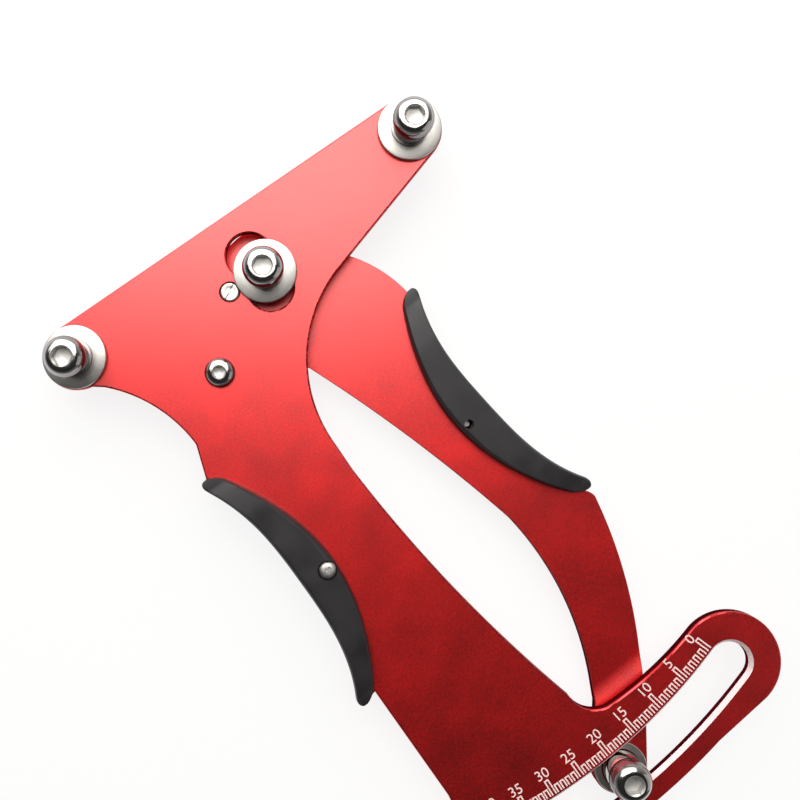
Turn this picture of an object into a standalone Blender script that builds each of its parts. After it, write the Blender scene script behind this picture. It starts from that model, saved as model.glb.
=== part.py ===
# Spoke tension meter: a hand tool that bends one wheel spoke between two fixed posts
# and a moving centre post, and shows the deflection on a curved scale.
# The tool lies on its back. X runs along the line of the two fixed posts, Y towards the
# head's upper edge and Z towards the reader. The origin is the centre of the pivot pin's
# back face, and the pivot axis is the Z axis. All lengths are in metres.
from math import acos, asin, atan2, ceil, cos, degrees, hypot, pi, radians, sin, sqrt, tan

import bmesh
import bpy
from mathutils import Vector

# Running gap between pieces that touch on the real tool
SEAT = 0.0003

# Plates
FRAME_THICKNESS = 0.0030
LEVER_THICKNESS = 0.0030
PLATE_GAP = 0.0042
PLATE_CHAMFER = 0.0004

# Head of the frame and its two fixed posts
POST_RIGHT_X = 0.0685
POST_LEFT_X = -0.0468
POST_LINE_Y = 0.0095
HEAD_END_RADIUS = 0.0095
HEAD_END_TURN = 262.0
HEAD_CORNER_INSET = 0.0018
HEAD_CORNER_DROP = 0.0022
HEAD_UNDER_X = 0.0310
HEAD_UNDER_Y = -0.0116
HEAD_UNDER_TURN = -74.6
HEAD_UNDER_BULGE = 0.0089

# Handle of the frame, down to the scale arm, and the window that parts it from the lever
HANDLE_NECK_X = -0.0326
HANDLE_NECK_Y = -0.0305
HANDLE_NECK_BULGE = 0.0029
HANDLE_HEEL_X = -0.0302
HANDLE_HEEL_RISE = 0.0010
HANDLE_FOOT_X = -0.0296
HANDLE_FOOT_RISE = 0.0240
HANDLE_FOOT_BULGE = 0.0005
WINDOW_X = 0.0004
WINDOW_TOP_Y = -0.0530
WINDOW_SIDE_Y = -0.0620
WINDOW_SIDE_BULGE = 0.0024
WINDOW_FOOT_RISE = 0.02725
WINDOW_FOOT_ANGLE = -84.29
WINDOW_FOOT_BULGE = 0.0021

# Pivot
PIN_RADIUS = 0.0028
PIN_HEAD_RADIUS = 0.0055
PIN_HEAD_THICKNESS = 0.0015
PIN_EDGE = 0.0003
PIN_STAKE = 0.0005
PIVOT_WASHER_THICKNESS = 0.0008
PIVOT_WASHER_RADIUS = 0.0055
SPACER_RADIUS = 0.0039
LEVER_EYE_RADIUS = 0.0110

# Centre post, carried by the lever through an arc slot in the frame
CENTRE_POST_ORBIT = 0.0117
CENTRE_POST_ANGLE = -3.9
CENTRE_SLOT_HALF_WIDTH = 0.0066
CENTRE_SLOT_HALF_ANGLE = 28.0
CENTRE_SPACER_RADIUS = 0.0046
LEVER_POST_EYE_RADIUS = 0.0137

# What is on every post, from the plate upwards
SCREW_RADIUS = 0.0030
BIG_WASHER_RADIUS = 0.0091
BIG_WASHER_THICKNESS = 0.0016
COLLAR_RADIUS = 0.0054
COLLAR_HEIGHT = 0.0015
NECK_RADIUS = 0.0043
NECK_HEIGHT = 0.0061
DOME_RIM_RADIUS = 0.00575
DOME_RIM_HEIGHT = 0.0008
DOME_HEIGHT = 0.0039
DOME_FLAT_RADIUS = 0.0032
SOCKET_ACROSS_FLATS = 0.0048
SOCKET_DEPTH = 0.0024
NUT_ACROSS_FLATS = 0.0100
NUT_HEIGHT = 0.0050
SCREW_END_LENGTH = 0.0010
SCREW_TIP_CHAMFER = 0.0004
SLEEVE_FLARE = 0.0006
EDGE_BREAK = 0.00025

# Scale arm, an arc about the pivot
SCALE_RADIUS = 0.1780
SCALE_SLOT_HALF_WIDTH = 0.0066
SCALE_OUTER_LAND = 0.0054
SCALE_INNER_LAND = 0.0177
SCALE_INNER_ANGLE = -82.04
SCALE_INNER_BULGE = 0.00135
SCALE_START_ANGLE = -70.8
SCALE_END_ANGLE = -102.2
SCALE_CAP_RADIUS = 0.0146
SCALE_CAP_LOW_TURN = 68.0
SCALE_CAP_HIGH_TURN = 104.0
POINTER_ANGLE = -84.93

# Pointer, at the end of the lever
BUSHING_RADIUS = 0.0054
BUSHING_LENGTH = 0.0060
POINTER_WASHER_RADIUS = 0.0057
POINTER_WASHER_THICKNESS = 0.0009
JOGGLE_SETBACK = 0.0217
JOGGLE_LENGTH = 0.0036
JOGGLE_RISE = 0.0030

# Edges of the lever between the pivot, the grip and the pointer
LEVER_THROAT_X = 0.0066
LEVER_THROAT_Y = -0.0308
LEVER_WAIST_X = 0.0304
LEVER_WAIST_Y = -0.1006
LEVER_THROAT_BULGE = 0.0014
LEVER_WAIST_BULGE = 0.0049
LEVER_FOOT_RISE = 0.0177
LEVER_FOOT_ANGLE = -82.62
LEVER_END_RADIUS = 0.0080
LEVER_TOE_RISE = 0.0147
LEVER_TOE_ANGLE = -76.83
LEVER_TOE_BULGE = 0.0025
LEVER_HEEL_OFFSET = 0.0064
LEVER_HEEL_DROP = 0.0029
LEVER_HEEL_TUCK = 0.0014
LEVER_HEEL_ALONG = -0.0385
LEVER_HEEL_BULGE = 0.0005
LEVER_SHOULDER_X = 0.0250
LEVER_SHOULDER_Y = -0.0010
LEVER_SHOULDER_BULGE = 0.0035

# Torsion spring and what its two legs bear on
WIRE_RADIUS = 0.00065
COIL_RADIUS = 0.0050
COIL_PITCH = 0.00145
COIL_EXTRA_TURNS = 1
LEG_OVERRUN = 0.0040
ANCHOR_X = -0.0152
ANCHOR_Y = -0.0173
ANCHOR_SCREW_RADIUS = 0.0025
ANCHOR_HEAD_RADIUS = 0.00435
ANCHOR_HEAD_HEIGHT = 0.0027
ANCHOR_FLAT_RADIUS = 0.0021
ANCHOR_SOCKET_ACROSS_FLATS = 0.0032
ANCHOR_SOCKET_DEPTH = 0.0016
ANCHOR_SLEEVE_RADIUS = 0.0039
ANCHOR_SLEEVE_LENGTH = 0.0048
ANCHOR_NUT_ACROSS_FLATS = 0.0080
ANCHOR_NUT_HEIGHT = 0.0035
PEG_X = 0.0037
PEG_Y = -0.0199
PEG_RADIUS = 0.0022
PEG_SHANK_RADIUS = 0.0015
PEG_HEAD_RADIUS = 0.0027
PEG_HEAD_THICKNESS = 0.0008
LEVER_PEG_MARGIN = 0.0046

# Crescent grips: one moulding, used right way round and mirrored
GRIP_HALF_CHORD = 0.0392
GRIP_PLATE_SIDE = 0.0161
GRIP_PLATE_SWEEP = 0.0115
GRIP_PLATE_POWER = 1.94
GRIP_HAND_SIDE = 0.0046
GRIP_HAND_SWEEP = 0.0065
GRIP_HAND_POWER = 3.0
GRIP_TIP_LENGTH = 0.0032
GRIP_HALF_THICKNESS = 0.0060
GRIP_TIP_HALF_THICKNESS = 0.0036
GRIP_LIP = 0.0034
GRIP_FLAT_SHARE = 0.93
GRIP_ROUNDNESS = 5.0
GRIP_SCREW_INSET = 0.0030
GRIP_SCREW_ALONG = -0.0014
GRIP_SCREW_RADIUS = 0.0011
GRIP_SCREW_HEAD_RADIUS = 0.0025
GRIP_SCREW_HEAD_HEIGHT = 0.0016
GRIP_SCREW_SINK = 0.0018
GRIP_SCREW_SHORT = 0.0040
GRIP_SCREW_TIP = 0.0006
CROSS_HALF_WIDTH = 0.00035
CROSS_REACH = 0.0014
CROSS_DEPTH = 0.0009
LEFT_GRIP_X = -0.0345
LEFT_GRIP_Y = -0.0796
LEFT_GRIP_TURN = 1.5
RIGHT_GRIP_X = 0.0484
RIGHT_GRIP_Y = -0.0671
RIGHT_GRIP_TURN = 7.9

# Fineness of round shapes
ARC_TOLERANCE = 0.00008
ROUND_SIDES = 24
SMALL_HOLE_SIDES = 16
DOME_STEPS = 4
GRIP_STATIONS = 16
GRIP_ARC_POINTS = 8
COIL_STEPS_PER_TURN = 20
EDGE_STEPS = 20
WIRE_SIDES = 8

# Heights of the stack, worked out from the pin's back face upwards
LEVER_BACK = PIN_HEAD_THICKNESS + SEAT + PIVOT_WASHER_THICKNESS + SEAT
LEVER_FRONT = LEVER_BACK + LEVER_THICKNESS
FRAME_BACK = LEVER_FRONT + PLATE_GAP
FRAME_FRONT = FRAME_BACK + FRAME_THICKNESS
BIG_WASHER_TOP = FRAME_FRONT + SEAT + BIG_WASHER_THICKNESS
LEVER_END_FRONT = LEVER_FRONT + JOGGLE_RISE
JOGGLE_START = SCALE_RADIUS - JOGGLE_SETBACK

RED = ("bead_blasted_red_anodised_aluminium", (0.60, 0.03, 0.03), 0.38, 0.85)
STEEL = ("polished_stainless_steel", (0.62, 0.61, 0.60), 0.16, 1.0)
SPRING_STEEL = ("spring_steel_wire", (0.30, 0.30, 0.31), 0.30, 1.0)
BLACK = ("moulded_black_nylon", (0.03, 0.03, 0.032), 0.48, 0.0)
DARK_STEEL = ("black_oxide_steel", (0.08, 0.075, 0.075), 0.35, 1.0)


def polar(radius, angle, centre=(0.0, 0.0)):
    """The point at an angle in degrees on a circle."""
    return (centre[0] + radius * cos(radians(angle)), centre[1] + radius * sin(radians(angle)))


class Outline:
    """A flat outline drawn counter-clockwise from lines and arcs."""

    def __init__(self, start):
        self.points = [start]

    def line(self, end):
        self.points.append(end)
        return self

    def turn(self, centre, radius, start_angle, end_angle):
        """An arc from one angle to another, the way that the angles run."""
        largest = degrees(2.0 * acos(1.0 - ARC_TOLERANCE / radius))
        steps = max(2, ceil(abs(end_angle - start_angle) / largest))
        for step in range(steps + 1):
            angle = start_angle + (end_angle - start_angle) * step / steps
            point = polar(radius, angle, centre)
            if hypot(point[0] - self.points[-1][0], point[1] - self.points[-1][1]) > 1e-6:
                self.points.append(point)
        return self

    def arc(self, via, end):
        """An arc through one point to an end point."""
        ax, ay = self.points[-1]
        bx, by = via
        cx, cy = end
        cross = 2.0 * ((bx - ax) * (cy - ay) - (by - ay) * (cx - ax))
        ab = (bx - ax) ** 2 + (by - ay) ** 2
        ac = (cx - ax) ** 2 + (cy - ay) ** 2
        ux = ax + ((cy - ay) * ab - (by - ay) * ac) / cross
        uy = ay + ((bx - ax) * ac - (cx - ax) * ab) / cross
        radius = hypot(ax - ux, ay - uy)
        start = degrees(atan2(ay - uy, ax - ux))
        sweep = (degrees(atan2(cy - uy, cx - ux)) - start) % 360.0
        if cross < 0.0:
            sweep -= 360.0
        return self.turn((ux, uy), radius, start, start + sweep)

    def bow(self, bulge, end):
        """An arc to an end point, whose middle stands off the chord by a bulge: positive is to the right."""
        ax, ay = self.points[-1]
        share = bulge / hypot(end[0] - ax, end[1] - ay)
        via = ((ax + end[0]) / 2.0 + (end[1] - ay) * share, (ay + end[1]) / 2.0 - (end[0] - ax) * share)
        return self.arc(via, end)


def circle(radius, centre=(0.0, 0.0), sides=ROUND_SIDES):
    return [polar(radius, 360.0 * k / sides, centre) for k in range(sides)]


def arc_slot(orbit, half_width, low_angle, high_angle):
    """A slot with round ends whose centre line is an arc about the pivot."""
    slot = Outline(polar(orbit + half_width, low_angle))
    slot.turn((0.0, 0.0), orbit + half_width, low_angle, high_angle)
    slot.turn(polar(orbit, high_angle), half_width, high_angle, high_angle + 180.0)
    slot.turn((0.0, 0.0), orbit - half_width, high_angle, low_angle)
    slot.turn(polar(orbit, low_angle), half_width, low_angle + 180.0, low_angle + 360.0)
    return slot.points


def closed_loop(points):
    """Points without doubles and without a repeat of the first point at the end."""
    kept = []
    for point in points:
        if not kept or hypot(point[0] - kept[-1][0], point[1] - kept[-1][1]) > 2e-5:
            kept.append(point)
    if hypot(kept[0][0] - kept[-1][0], kept[0][1] - kept[-1][1]) < 2e-5:
        kept.pop()
    return kept


def turned_left(points, is_hole):
    """A loop with the material on its left: outlines run counter-clockwise, holes clockwise."""
    area = sum(a[0] * b[1] - b[0] * a[1] for a, b in zip(points, points[1:] + points[:1]))
    if (area > 0.0) == is_hole:
        return points[::-1]
    return points


def inset(points, distance):
    """The loop moved into the material by a distance, with mitred corners."""
    moved = []
    count = len(points)
    for index, point in enumerate(points):
        before = Vector(points[index - 1])
        here = Vector(point)
        after = Vector(points[(index + 1) % count])
        first = (here - before).normalized()
        second = (after - here).normalized()
        normal = Vector((-first.y - second.y, first.x + second.x)).normalized()
        share = max(0.5, normal.dot(Vector((-first.y, first.x))))
        moved.append(here + normal * (distance / share))
    return [(point.x, point.y) for point in moved]


def new_object(name, bm, finish, smooth_angle=40.0):
    """Turn a bmesh into an object with its own material."""
    bmesh.ops.remove_doubles(bm, verts=bm.verts, dist=2e-6)
    bmesh.ops.recalc_face_normals(bm, faces=bm.faces)
    mesh = bpy.data.meshes.new(name)
    bm.to_mesh(mesh)
    bm.free()
    mesh.shade_smooth()
    mesh.set_sharp_from_angle(angle=radians(smooth_angle))
    part = bpy.data.objects.new(name, mesh)
    bpy.context.scene.collection.objects.link(part)
    mesh.materials.append(material(finish))
    return part


def material(finish):
    name, colour, roughness, metallic = finish
    found = bpy.data.materials.get(name)
    if found:
        return found
    made = bpy.data.materials.new(name)
    made.use_nodes = True
    shader = made.node_tree.nodes["Principled BSDF"]
    shader.inputs["Base Color"].default_value = (*colour, 1.0)
    shader.inputs["Roughness"].default_value = roughness
    shader.inputs["Metallic"].default_value = metallic
    return made


def plate_mesh(outline, holes, back, front, chamfer):
    """A plate with a chamfer on both edges of its outline and of each hole."""
    bm = bmesh.new()
    back_edges = []
    front_edges = []
    loops = [turned_left(closed_loop(outline), False)]
    loops += [turned_left(closed_loop(hole), True) for hole in holes]
    for loop in loops:
        small = inset(loop, chamfer)
        rings = []
        for points, height in ((small, back), (loop, back + chamfer), (loop, front - chamfer), (small, front)):
            rings.append([bm.verts.new((x, y, height)) for x, y in points])
        count = len(loop)
        for low, high in zip(rings, rings[1:]):
            for index in range(count):
                after = (index + 1) % count
                bm.faces.new((low[index], low[after], high[after], high[index]))
        for ring, edges in ((rings[0], back_edges), (rings[-1], front_edges)):
            for index in range(count):
                edges.append(bm.edges.get((ring[index], ring[(index + 1) % count])))
    for edges in (back_edges, front_edges):
        bmesh.ops.triangle_fill(bm, use_beauty=True, edges=edges)
    return bm


def turned_mesh(profile, sides=ROUND_SIDES):
    """A turned piece from (radius, height) points, closed at the axis or as a ring."""
    bm = bmesh.new()
    verts = [bm.verts.new((radius, 0.0, height)) for radius, height in profile]
    edges = [bm.edges.new(pair) for pair in zip(verts, verts[1:])]
    if profile[0][0] > 0.0:
        edges.append(bm.edges.new((verts[-1], verts[0])))
    bmesh.ops.spin(bm, geom=verts + edges, cent=(0, 0, 0), axis=(0, 0, 1), angle=2 * pi, steps=sides)
    return bm


def prism_mesh(points, low, high):
    bm = bmesh.new()
    base = bm.faces.new([bm.verts.new((x, y, low)) for x, y in points])
    grown = bmesh.ops.extrude_face_region(bm, geom=[base])
    for element in grown["geom"]:
        if isinstance(element, bmesh.types.BMVert):
            element.co.z = high
    return bm


def hexagon(across_flats, turn=0.0):
    return [polar(across_flats / sqrt(3.0), 60.0 * k + turn) for k in range(6)]


def cut(part, name, bm):
    """Cut a shape out of a part with a hidden guide object, which follows the part."""
    bmesh.ops.recalc_face_normals(bm, faces=bm.faces)
    mesh = bpy.data.meshes.new(name)
    bm.to_mesh(mesh)
    bm.free()
    cutter = bpy.data.objects.new(name, mesh)
    bpy.context.scene.collection.objects.link(cutter)
    cutter.hide_render = True
    cutter.display_type = "WIRE"
    cutter.parent = part
    modifier = part.modifiers.new(name, "BOOLEAN")
    modifier.operation = "DIFFERENCE"
    modifier.solver = "EXACT"
    modifier.object = cutter


def place(part, carrier, x, y, z=0.0):
    """Put a piece at a point, carried by the empty of its body."""
    part.parent = carrier
    part.location = (x - carrier.location.x, y - carrier.location.y, z - carrier.location.z)
    return part


def carrier_empty(name):
    empty = bpy.data.objects.new(name, None)
    bpy.context.scene.collection.objects.link(empty)
    return empty


def grip_widths(y):
    """Middle, half width and half thickness of the grip at a place along its chord."""
    reach = GRIP_HALF_CHORD - GRIP_TIP_LENGTH
    share = abs(y) / reach
    plate_side = GRIP_PLATE_SIDE - GRIP_PLATE_SWEEP * share ** GRIP_PLATE_POWER
    hand_side = GRIP_HAND_SIDE - GRIP_HAND_SWEEP * share ** GRIP_HAND_POWER
    past = min(1.0, max(0.0, abs(y) - reach) / GRIP_TIP_LENGTH)
    round_off = sqrt(1.0 - past * past)
    swell = min(1.0, 1.35 * sqrt(1.0 - min(1.0, share) ** 2))
    half_height = GRIP_TIP_HALF_THICKNESS + (GRIP_HALF_THICKNESS - GRIP_TIP_HALF_THICKNESS) * swell
    return (plate_side + hand_side) / 2.0, (plate_side - hand_side) / 2.0 * round_off, half_height * (0.93 + 0.07 * round_off)


def grip_lip(half_width):
    """Width of the lip where the two shells meet on the hand side."""
    return min(GRIP_LIP, half_width * 1.2)


def grip_plate_edge(place_grip, clearance, first_end):
    """The plate's edge inside a grip, which runs beside the lip from one end to the other."""
    points = []
    for step in range(EDGE_STEPS + 1):
        y = first_end * GRIP_HALF_CHORD * cos(pi * step / EDGE_STEPS)
        middle, half_width, _ = grip_widths(y)
        points.append(place_grip((middle - half_width + grip_lip(half_width) + clearance, y)))
    return points


def grip_placer(x, y, turn, mirror):
    """A function that takes a point of the moulding to its place on the tool."""
    sign = -1.0 if mirror else 1.0

    def placed(point):
        px = sign * point[0]
        py = point[1]
        c = cos(radians(turn))
        s = sin(radians(turn))
        return (x + px * c - py * s, y + px * s + py * c)

    return placed


place_left_grip = grip_placer(LEFT_GRIP_X, LEFT_GRIP_Y, LEFT_GRIP_TURN, False)
place_right_grip = grip_placer(RIGHT_GRIP_X, RIGHT_GRIP_Y, RIGHT_GRIP_TURN, True)
GRIP_SCREW_SPOT = (GRIP_PLATE_SIDE - GRIP_SCREW_INSET, GRIP_SCREW_ALONG)
LEFT_SCREW_POINT = place_left_grip(GRIP_SCREW_SPOT)
RIGHT_SCREW_POINT = place_right_grip(GRIP_SCREW_SPOT)
CENTRE_POST = polar(CENTRE_POST_ORBIT, CENTRE_POST_ANGLE)
POINTER = polar(SCALE_RADIUS, POINTER_ANGLE)
ANCHOR = (ANCHOR_X, ANCHOR_Y)
PEG = (PEG_X, PEG_Y)


def frame_outline():
    """Head, handle and scale arm in one outline, counter-clockwise from the head's top left."""
    left_post = (POST_LEFT_X, POST_LINE_Y)
    right_post = (POST_RIGHT_X, POST_LINE_Y)
    cap_start = polar(SCALE_RADIUS, SCALE_START_ANGLE)
    cap_end = polar(SCALE_RADIUS, SCALE_END_ANGLE)
    outer = SCALE_RADIUS + SCALE_SLOT_HALF_WIDTH + SCALE_OUTER_LAND
    outline = Outline(polar(HEAD_END_RADIUS, 90.0, left_post))
    outline.turn(left_post, HEAD_END_RADIUS, 90.0, HEAD_END_TURN)
    outline.line((POST_LEFT_X + HEAD_CORNER_INSET, POST_LINE_Y - HEAD_END_RADIUS - HEAD_CORNER_DROP))
    outline.bow(-HANDLE_NECK_BULGE, (HANDLE_NECK_X, HANDLE_NECK_Y))
    for point in grip_plate_edge(place_left_grip, SEAT, 1.0)[:-1]:
        outline.line(point)
    outline.line((HANDLE_HEEL_X, LEFT_GRIP_Y - GRIP_HALF_CHORD + HANDLE_HEEL_RISE))
    outline.line((HANDLE_FOOT_X, HANDLE_FOOT_RISE - SCALE_RADIUS))
    outline.bow(-HANDLE_FOOT_BULGE, polar(SCALE_CAP_RADIUS, SCALE_CAP_LOW_TURN, cap_end))
    outline.turn(cap_end, SCALE_CAP_RADIUS, SCALE_CAP_LOW_TURN, SCALE_END_ANGLE + 356.0)
    outline.turn((0.0, 0.0), outer, SCALE_END_ANGLE + 6.0, SCALE_START_ANGLE - 6.0)
    outline.turn(cap_start, SCALE_CAP_RADIUS, SCALE_START_ANGLE - 8.0, SCALE_CAP_HIGH_TURN)
    outline.bow(-SCALE_INNER_BULGE, polar(SCALE_RADIUS - SCALE_INNER_LAND, SCALE_INNER_ANGLE))
    outline.bow(-WINDOW_FOOT_BULGE, polar(SCALE_RADIUS - WINDOW_FOOT_RISE, WINDOW_FOOT_ANGLE))
    outline.bow(-WINDOW_SIDE_BULGE, (WINDOW_X, WINDOW_SIDE_Y))
    outline.line((WINDOW_X, WINDOW_TOP_Y))
    outline.bow(-HEAD_UNDER_BULGE, (HEAD_UNDER_X, HEAD_UNDER_Y))
    outline.turn(right_post, HEAD_END_RADIUS, HEAD_UNDER_TURN, 90.0)
    return outline.points


def lever_outline():
    """Pivot eye, grip arm and pointer arm in one outline, counter-clockwise from the pivot."""
    heel = (RIGHT_GRIP_X + LEVER_HEEL_OFFSET, RIGHT_GRIP_Y - GRIP_HALF_CHORD - LEVER_HEEL_DROP)
    outline = Outline(polar(LEVER_EYE_RADIUS, 95.0))
    outline.turn((0.0, 0.0), LEVER_EYE_RADIUS, 95.0, 205.0)
    outline.turn(PEG, LEVER_PEG_MARGIN, 195.0, 250.0)
    outline.line((LEVER_THROAT_X, LEVER_THROAT_Y))
    outline.bow(-LEVER_THROAT_BULGE, (LEVER_WAIST_X, LEVER_WAIST_Y))
    outline.bow(-LEVER_WAIST_BULGE, polar(SCALE_RADIUS - LEVER_FOOT_RISE, LEVER_FOOT_ANGLE))
    outline.turn(POINTER, LEVER_END_RADIUS, 142.0, 327.0)
    outline.line(polar(SCALE_RADIUS - LEVER_TOE_RISE, LEVER_TOE_ANGLE))
    outline.bow(LEVER_TOE_BULGE, heel)
    outline.bow(LEVER_HEEL_BULGE, place_right_grip((LEVER_HEEL_TUCK, LEVER_HEEL_ALONG)))
    for point in grip_plate_edge(place_right_grip, SEAT, -1.0)[2:-2]:
        outline.line(point)
    outline.bow(LEVER_SHOULDER_BULGE, (LEVER_SHOULDER_X, LEVER_SHOULDER_Y))
    outline.turn(CENTRE_POST, LEVER_POST_EYE_RADIUS, 40.0, 95.0)
    return outline.points


def make_frame_plate(carrier):
    screw_hole = SCREW_RADIUS + SEAT
    holes = [
        circle(screw_hole, (POST_LEFT_X, POST_LINE_Y)),
        circle(screw_hole, (POST_RIGHT_X, POST_LINE_Y)),
        circle(PIN_RADIUS + SEAT),
        circle(ANCHOR_SCREW_RADIUS + SEAT, ANCHOR),
        circle(GRIP_SCREW_RADIUS + SEAT, LEFT_SCREW_POINT, SMALL_HOLE_SIDES),
        arc_slot(CENTRE_POST_ORBIT, CENTRE_SLOT_HALF_WIDTH, -CENTRE_SLOT_HALF_ANGLE, CENTRE_SLOT_HALF_ANGLE),
        arc_slot(SCALE_RADIUS, SCALE_SLOT_HALF_WIDTH, SCALE_END_ANGLE, SCALE_START_ANGLE),
    ]
    bm = plate_mesh(frame_outline(), holes, FRAME_BACK, FRAME_FRONT, PLATE_CHAMFER)
    return place(new_object("frame_plate", bm, RED), carrier, 0.0, 0.0)


def make_lever_arm(carrier):
    """The lever's plate, whose end steps forward behind the scale arm."""
    holes = [
        circle(PIN_RADIUS + SEAT),
        circle(SCREW_RADIUS + SEAT, CENTRE_POST),
        circle(SCREW_RADIUS + SEAT, POINTER),
        circle(PEG_SHANK_RADIUS + SEAT, PEG, SMALL_HOLE_SIDES),
        circle(GRIP_SCREW_RADIUS + SEAT, RIGHT_SCREW_POINT, SMALL_HOLE_SIDES),
    ]
    bm = plate_mesh(lever_outline(), holes, LEVER_BACK, LEVER_FRONT, PLATE_CHAMFER)
    along = Vector((*polar(1.0, POINTER_ANGLE), 0.0))
    folds = 6
    for fold in range(folds + 1):
        spot = along * (JOGGLE_START + JOGGLE_LENGTH * fold / folds)
        everything = list(bm.verts) + list(bm.edges) + list(bm.faces)
        bmesh.ops.bisect_plane(bm, geom=everything, plane_co=spot, plane_no=along, dist=1e-7)
    for vert in bm.verts:
        share = (vert.co.dot(along) - JOGGLE_START) / JOGGLE_LENGTH
        share = min(1.0, max(0.0, share))
        vert.co.z += JOGGLE_RISE * share * share * (3.0 - 2.0 * share)
    bmesh.ops.triangulate(bm, faces=bm.faces)
    return place(new_object("lever_arm", bm, RED), carrier, 0.0, 0.0)


def ring(name, inner, outer, low, high, finish, edge=EDGE_BREAK):
    """A washer, sleeve or spacer with broken outer edges."""
    profile = [(inner, low), (outer - edge, low), (outer, low + edge)]
    profile += [(outer, high - edge), (outer - edge, high), (inner, high)]
    return new_object(name, turned_mesh(profile), finish)


def nut(name, bore, across_flats, low, high, finish):
    """A hexagon nut with its corners turned off at both faces."""
    flat = across_flats / 2.0
    bm = bmesh.new()
    columns = []
    for step in range(ROUND_SIDES):
        angle = 360.0 * step / ROUND_SIDES
        outer = flat / cos(radians((angle + 30.0) % 60.0 - 30.0))
        drop = (outer - flat) * tan(radians(30.0))
        profile = [(bore, low), (flat, low), (outer, low + drop), (outer, high - drop), (flat, high), (bore, high)]
        columns.append([bm.verts.new((*polar(radius, angle), height)) for radius, height in profile])
    for index, column in enumerate(columns):
        after = columns[(index + 1) % ROUND_SIDES]
        for k in range(len(column)):
            up = (k + 1) % len(column)
            bm.faces.new((column[k], after[k], after[up], column[up]))
    return new_object(name, bm, finish, 20.0)


def dome_arc(rim_radius, flat_radius, low, high):
    """Points of a button head's side, a quarter ellipse from the rim to the flat."""
    points = []
    for step in range(DOME_STEPS + 1):
        angle = radians(90.0 * step / DOME_STEPS)
        points.append((flat_radius + (rim_radius - flat_radius) * cos(angle), low + (high - low) * sin(angle)))
    return points


def button_screw(name, shank, rim, rim_height, head_height, flat, flats, depth, seat_z, end_z, finish):
    """A button head screw: its head rests at seat_z and its shank ends at end_z."""
    tip = SCREW_TIP_CHAMFER
    profile = [(0.0, end_z), (shank - tip, end_z), (shank, end_z + tip), (shank, seat_z), (rim, seat_z)]
    profile += dome_arc(rim, flat, seat_z + rim_height, seat_z + head_height)
    profile.append((0.0, seat_z + head_height))
    part = new_object(name, turned_mesh(profile), finish)
    top = seat_z + head_height
    cut(part, name + "_socket", prism_mesh(hexagon(flats), top - depth, top + depth))
    return part


def make_post(prefix, carrier, centre, back, on_lever):
    """One post: screw, neck sleeve, big washer and nut, and a spacer where a slot is passed."""
    bore = SCREW_RADIUS + SEAT
    washer_low = FRAME_FRONT + SEAT
    washer = ring(prefix + "_post_washer", bore, BIG_WASHER_RADIUS, washer_low, BIG_WASHER_TOP, STEEL)
    place(washer, carrier, *centre)
    foot = BIG_WASHER_TOP + SEAT
    neck_low = foot + COLLAR_HEIGHT
    neck_top = neck_low + NECK_HEIGHT
    flare = SLEEVE_FLARE
    profile = [(bore, foot), (COLLAR_RADIUS - flare / 2, foot), (COLLAR_RADIUS, foot + flare / 2)]
    profile += [(COLLAR_RADIUS, neck_low - flare), (NECK_RADIUS + flare, neck_low), (NECK_RADIUS, neck_low + flare)]
    profile += [(NECK_RADIUS, neck_top), (bore, neck_top)]
    sleeve = new_object(prefix + "_post_sleeve", turned_mesh(profile), STEEL)
    place(sleeve, carrier, *centre)
    nut_top = back - SEAT
    nut_low = nut_top - NUT_HEIGHT
    screw = button_screw(prefix + "_post_screw", SCREW_RADIUS, DOME_RIM_RADIUS, DOME_RIM_HEIGHT, DOME_HEIGHT,
                         DOME_FLAT_RADIUS, SOCKET_ACROSS_FLATS, SOCKET_DEPTH, neck_top + SEAT,
                         nut_low - SCREW_END_LENGTH, STEEL)
    place(screw, carrier, *centre)
    place(nut(prefix + "_post_nut", bore, NUT_ACROSS_FLATS, nut_low, nut_top, STEEL), carrier, *centre)
    if on_lever:
        spacer = ring(prefix + "_post_spacer", bore, CENTRE_SPACER_RADIUS, LEVER_FRONT + SEAT, FRAME_FRONT, STEEL)
        place(spacer, carrier, *centre)


def make_pivot(frame_carrier):
    """Headed pin staked in the frame, with a spacer between the plates and a washer behind."""
    head = PIN_HEAD_THICKNESS
    edge = PIN_EDGE
    stake = PIN_STAKE
    profile = [(0.0, 0.0), (PIN_HEAD_RADIUS - edge, 0.0), (PIN_HEAD_RADIUS, edge), (PIN_HEAD_RADIUS, head)]
    profile += [(PIN_RADIUS, head), (PIN_RADIUS, FRAME_FRONT - edge), (PIN_RADIUS - edge, FRAME_FRONT)]
    profile += [(PIN_RADIUS / 2 + stake, FRAME_FRONT), (PIN_RADIUS / 2, FRAME_FRONT - stake)]
    profile.append((0.0, FRAME_FRONT - stake))
    place(new_object("pivot_pin", turned_mesh(profile), STEEL), frame_carrier, 0.0, 0.0)
    bore = PIN_RADIUS + SEAT
    low = PIN_HEAD_THICKNESS + SEAT
    washer = ring("pivot_washer", bore, PIVOT_WASHER_RADIUS, low, low + PIVOT_WASHER_THICKNESS, STEEL, 0.0002)
    place(washer, frame_carrier, 0.0, 0.0)
    spacer = ring("pivot_spacer", bore, SPACER_RADIUS, LEVER_FRONT + SEAT, FRAME_BACK - SEAT, STEEL)
    place(spacer, frame_carrier, 0.0, 0.0)


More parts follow.
